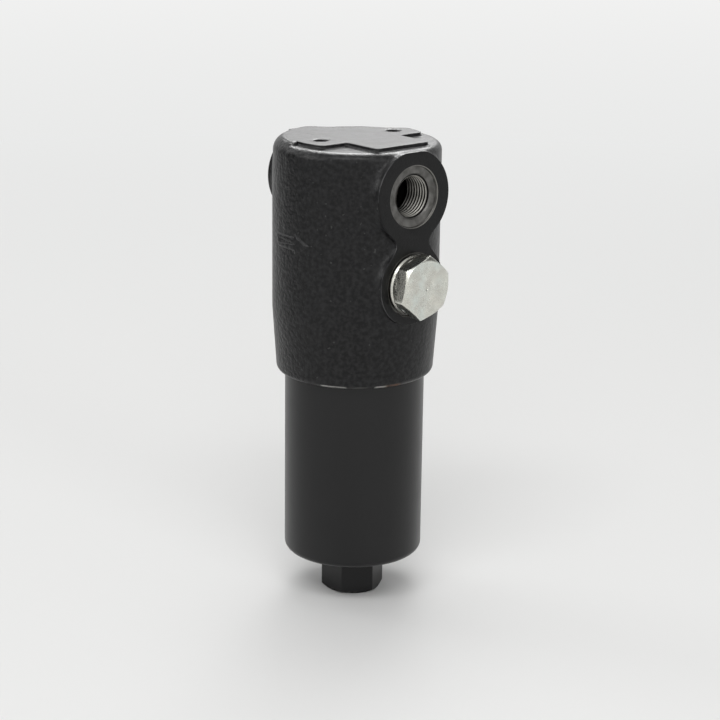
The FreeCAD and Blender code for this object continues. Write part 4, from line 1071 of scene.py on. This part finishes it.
def floor_skin():
    """A disc in rings, each wider than the one inside it by the same factor."""
    radius = np.geomspace(FIRST_RING, FLOOR_RADIUS, FLOOR_RINGS)[:, None]
    angle = once_round(FLOOR_COLUMNS)
    spots = np.stack([radius * np.cos(angle), radius * np.sin(angle), radius * angle * 0], axis=-1)
    here = np.arange(FLOOR_RINGS * FLOOR_COLUMNS).reshape(FLOOR_RINGS, FLOOR_COLUMNS)
    onward = np.roll(here, -1, axis=1)
    quads = np.stack([here[:-1], here[1:], onward[1:], onward[:-1]], axis=-1).reshape(-1, 4)
    mesh = bpy.data.meshes.new("floor")
    mesh.from_pydata(spots.reshape(-1, 3).tolist(), [], [here[0].tolist()] + quads.tolist())
    return mesh


def floor_finish():
    """Matt near the filter, glowing from GLOW_AWAY on, and clear when seen from below."""
    material = bpy.data.materials.new("floor")
    material.use_nodes = True
    material.node_tree.nodes.clear()
    start = Wire(material.node_tree)
    point, x, y, z = position(start)
    away = length_of(x, y)
    paper = start.node("BsdfDiffuse", out="BSDF", Color=(0.80, 0.80, 0.795))
    shade = away.between(*PALER_AWAY).towards((0.80, 0.805, 0.80), (0.885, 0.885, 0.88))
    dark = ((x * DARK_WAY[0] + y * DARK_WAY[1]) / away).between(*DARK_WIDTH)
    dark = dark * away.between(*DARK_AWAY) * start.node("LightPath", out="Is Glossy Ray")
    far = start.node("Emission", out="Emission", Color=shade, Strength=1.0 - dark * 0.8)
    paper = start.node("MixShader", out="Shader", Fac=away.between(*GLOW_AWAY), Shader=paper,
                       Shader_001=far)
    clear = start.node("BsdfTransparent", out="BSDF")
    below = start.node("NewGeometry", out="Backfacing")
    both = start.node("MixShader", out="Shader", Fac=below, Shader=paper, Shader_001=clear)
    start.node("OutputMaterial", Surface=both)
    return material


floor = placed("floor", floor_skin())
floor.data.materials.append(floor_finish())
print("floor:", len(floor.data.polygons), "faces,", 2 * FLOOR_RADIUS, "m wide")

# %% [markdown]
# Gloss paint shows little but what it mirrors, so what stands round the filter matters more than
# the paint's own colour. The world is therefore three things. For the camera it is plain pale. For
# the light that it gives it is dim, with one wide glow in front and a narrower one high behind,
# which make the soft shadow. For mirror rays it is a pale room with a bright panel behind, seen in
# the pad, and dark parts that keep the sides black. Four soft lamps draw the bands on the bowl.

# %% The light
FRONT_GLOW, BACK_GLOW, DIM, PALE, ROOM = 3.2, 5.0, 0.30, 0.86, 0.85
PANEL, DARKENING = 11.0, 0.77

world = bpy.data.worlds.new("studio")
world.use_nodes = True
world.node_tree.nodes.clear()
start = Wire(world.node_tree)
direction = start.node("TexCoord", out="Generated")
upward = direction.node("SeparateXYZ", Vector=direction).other("Z")


def towards_way(azimuth, elevation):
    """The cosine of the angle between a ray and a direction, both in degrees."""
    azimuth, elevation = math.radians(azimuth), math.radians(elevation)
    way = (math.cos(elevation) * math.cos(azimuth), math.cos(elevation) * math.sin(azimuth),
           math.sin(elevation))
    return direction.node("VectorMath", {"operation": "DOT_PRODUCT"}, "Value",
                          Vector=direction, Vector_001=way)


seen = start.node("LightPath", out="Is Camera Ray")
mirrored = seen.other("Is Glossy Ray") | seen.other("Is Transmission Ray")
given = ((towards_way(319, 30) | 0.0) ** 20.0 * FRONT_GLOW
         + (towards_way(139, 70) | 0.0) ** 40.0 * BACK_GLOW + DIM)
panel = abs(towards_way(41, 0)).between(0.36, 0.24) * towards_way(131, 0).between(0.1, 0.2)
panel = panel * upward.inside(0.41, 0.92, 0.08, 0.05)
panel = panel + towards_way(252, 22).between(0.97, 0.985) * 0.5
dark = towards_way(221, 0).between(0.72, 0.90) * upward.between(0.36, 0.2)
dark = dark | towards_way(58, 22).between(0.90, 0.96)
mirror_level = ROOM + panel * PANEL - dark * DARKENING
glow = start.node("Background", out="Background", Color=(1.0, 1.0, 0.995),
                  Strength=given + (PALE - given) * seen + (mirror_level - given) * mirrored)
start.node("OutputWorld", Surface=glow)
bpy.context.scene.world = world


def lamp(name, place, aim, size, power):
    """A soft lamp of a width and a height in metres, at a place and turned to a point."""
    data = bpy.data.lights.new(name, "AREA")
    data.shape, data.size, data.size_y = "RECTANGLE", *size
    data.energy = power
    made = placed(name, data)
    made.rotation_mode = "QUATERNION"
    made.rotation_quaternion = (Vector(aim) - Vector(place)).to_track_quat("-Z", "Y")
    made.location = place


MIDDLE, CROWN_MIDDLE = (0.0, 0.0, 0.12), (0.0, 0.0, 0.22)
lamp("left_lamp", (-1.70, -0.62, 1.42), MIDDLE, (0.8, 0.8), 4.5)
lamp("back_lamp", (-1.20, 1.40, 1.43), CROWN_MIDDLE, (0.75, 0.65), 6.0)
lamp("top_lamp", (0.80, -0.92, 1.84), CROWN_MIDDLE, (1.6, 0.45), 14.0)
lamp("right_lamp", (1.86, -0.13, 0.89), MIDDLE, (0.5, 0.5), 3.5)

bpy.context.scene.view_settings.view_transform = "Standard"

# %% [markdown]
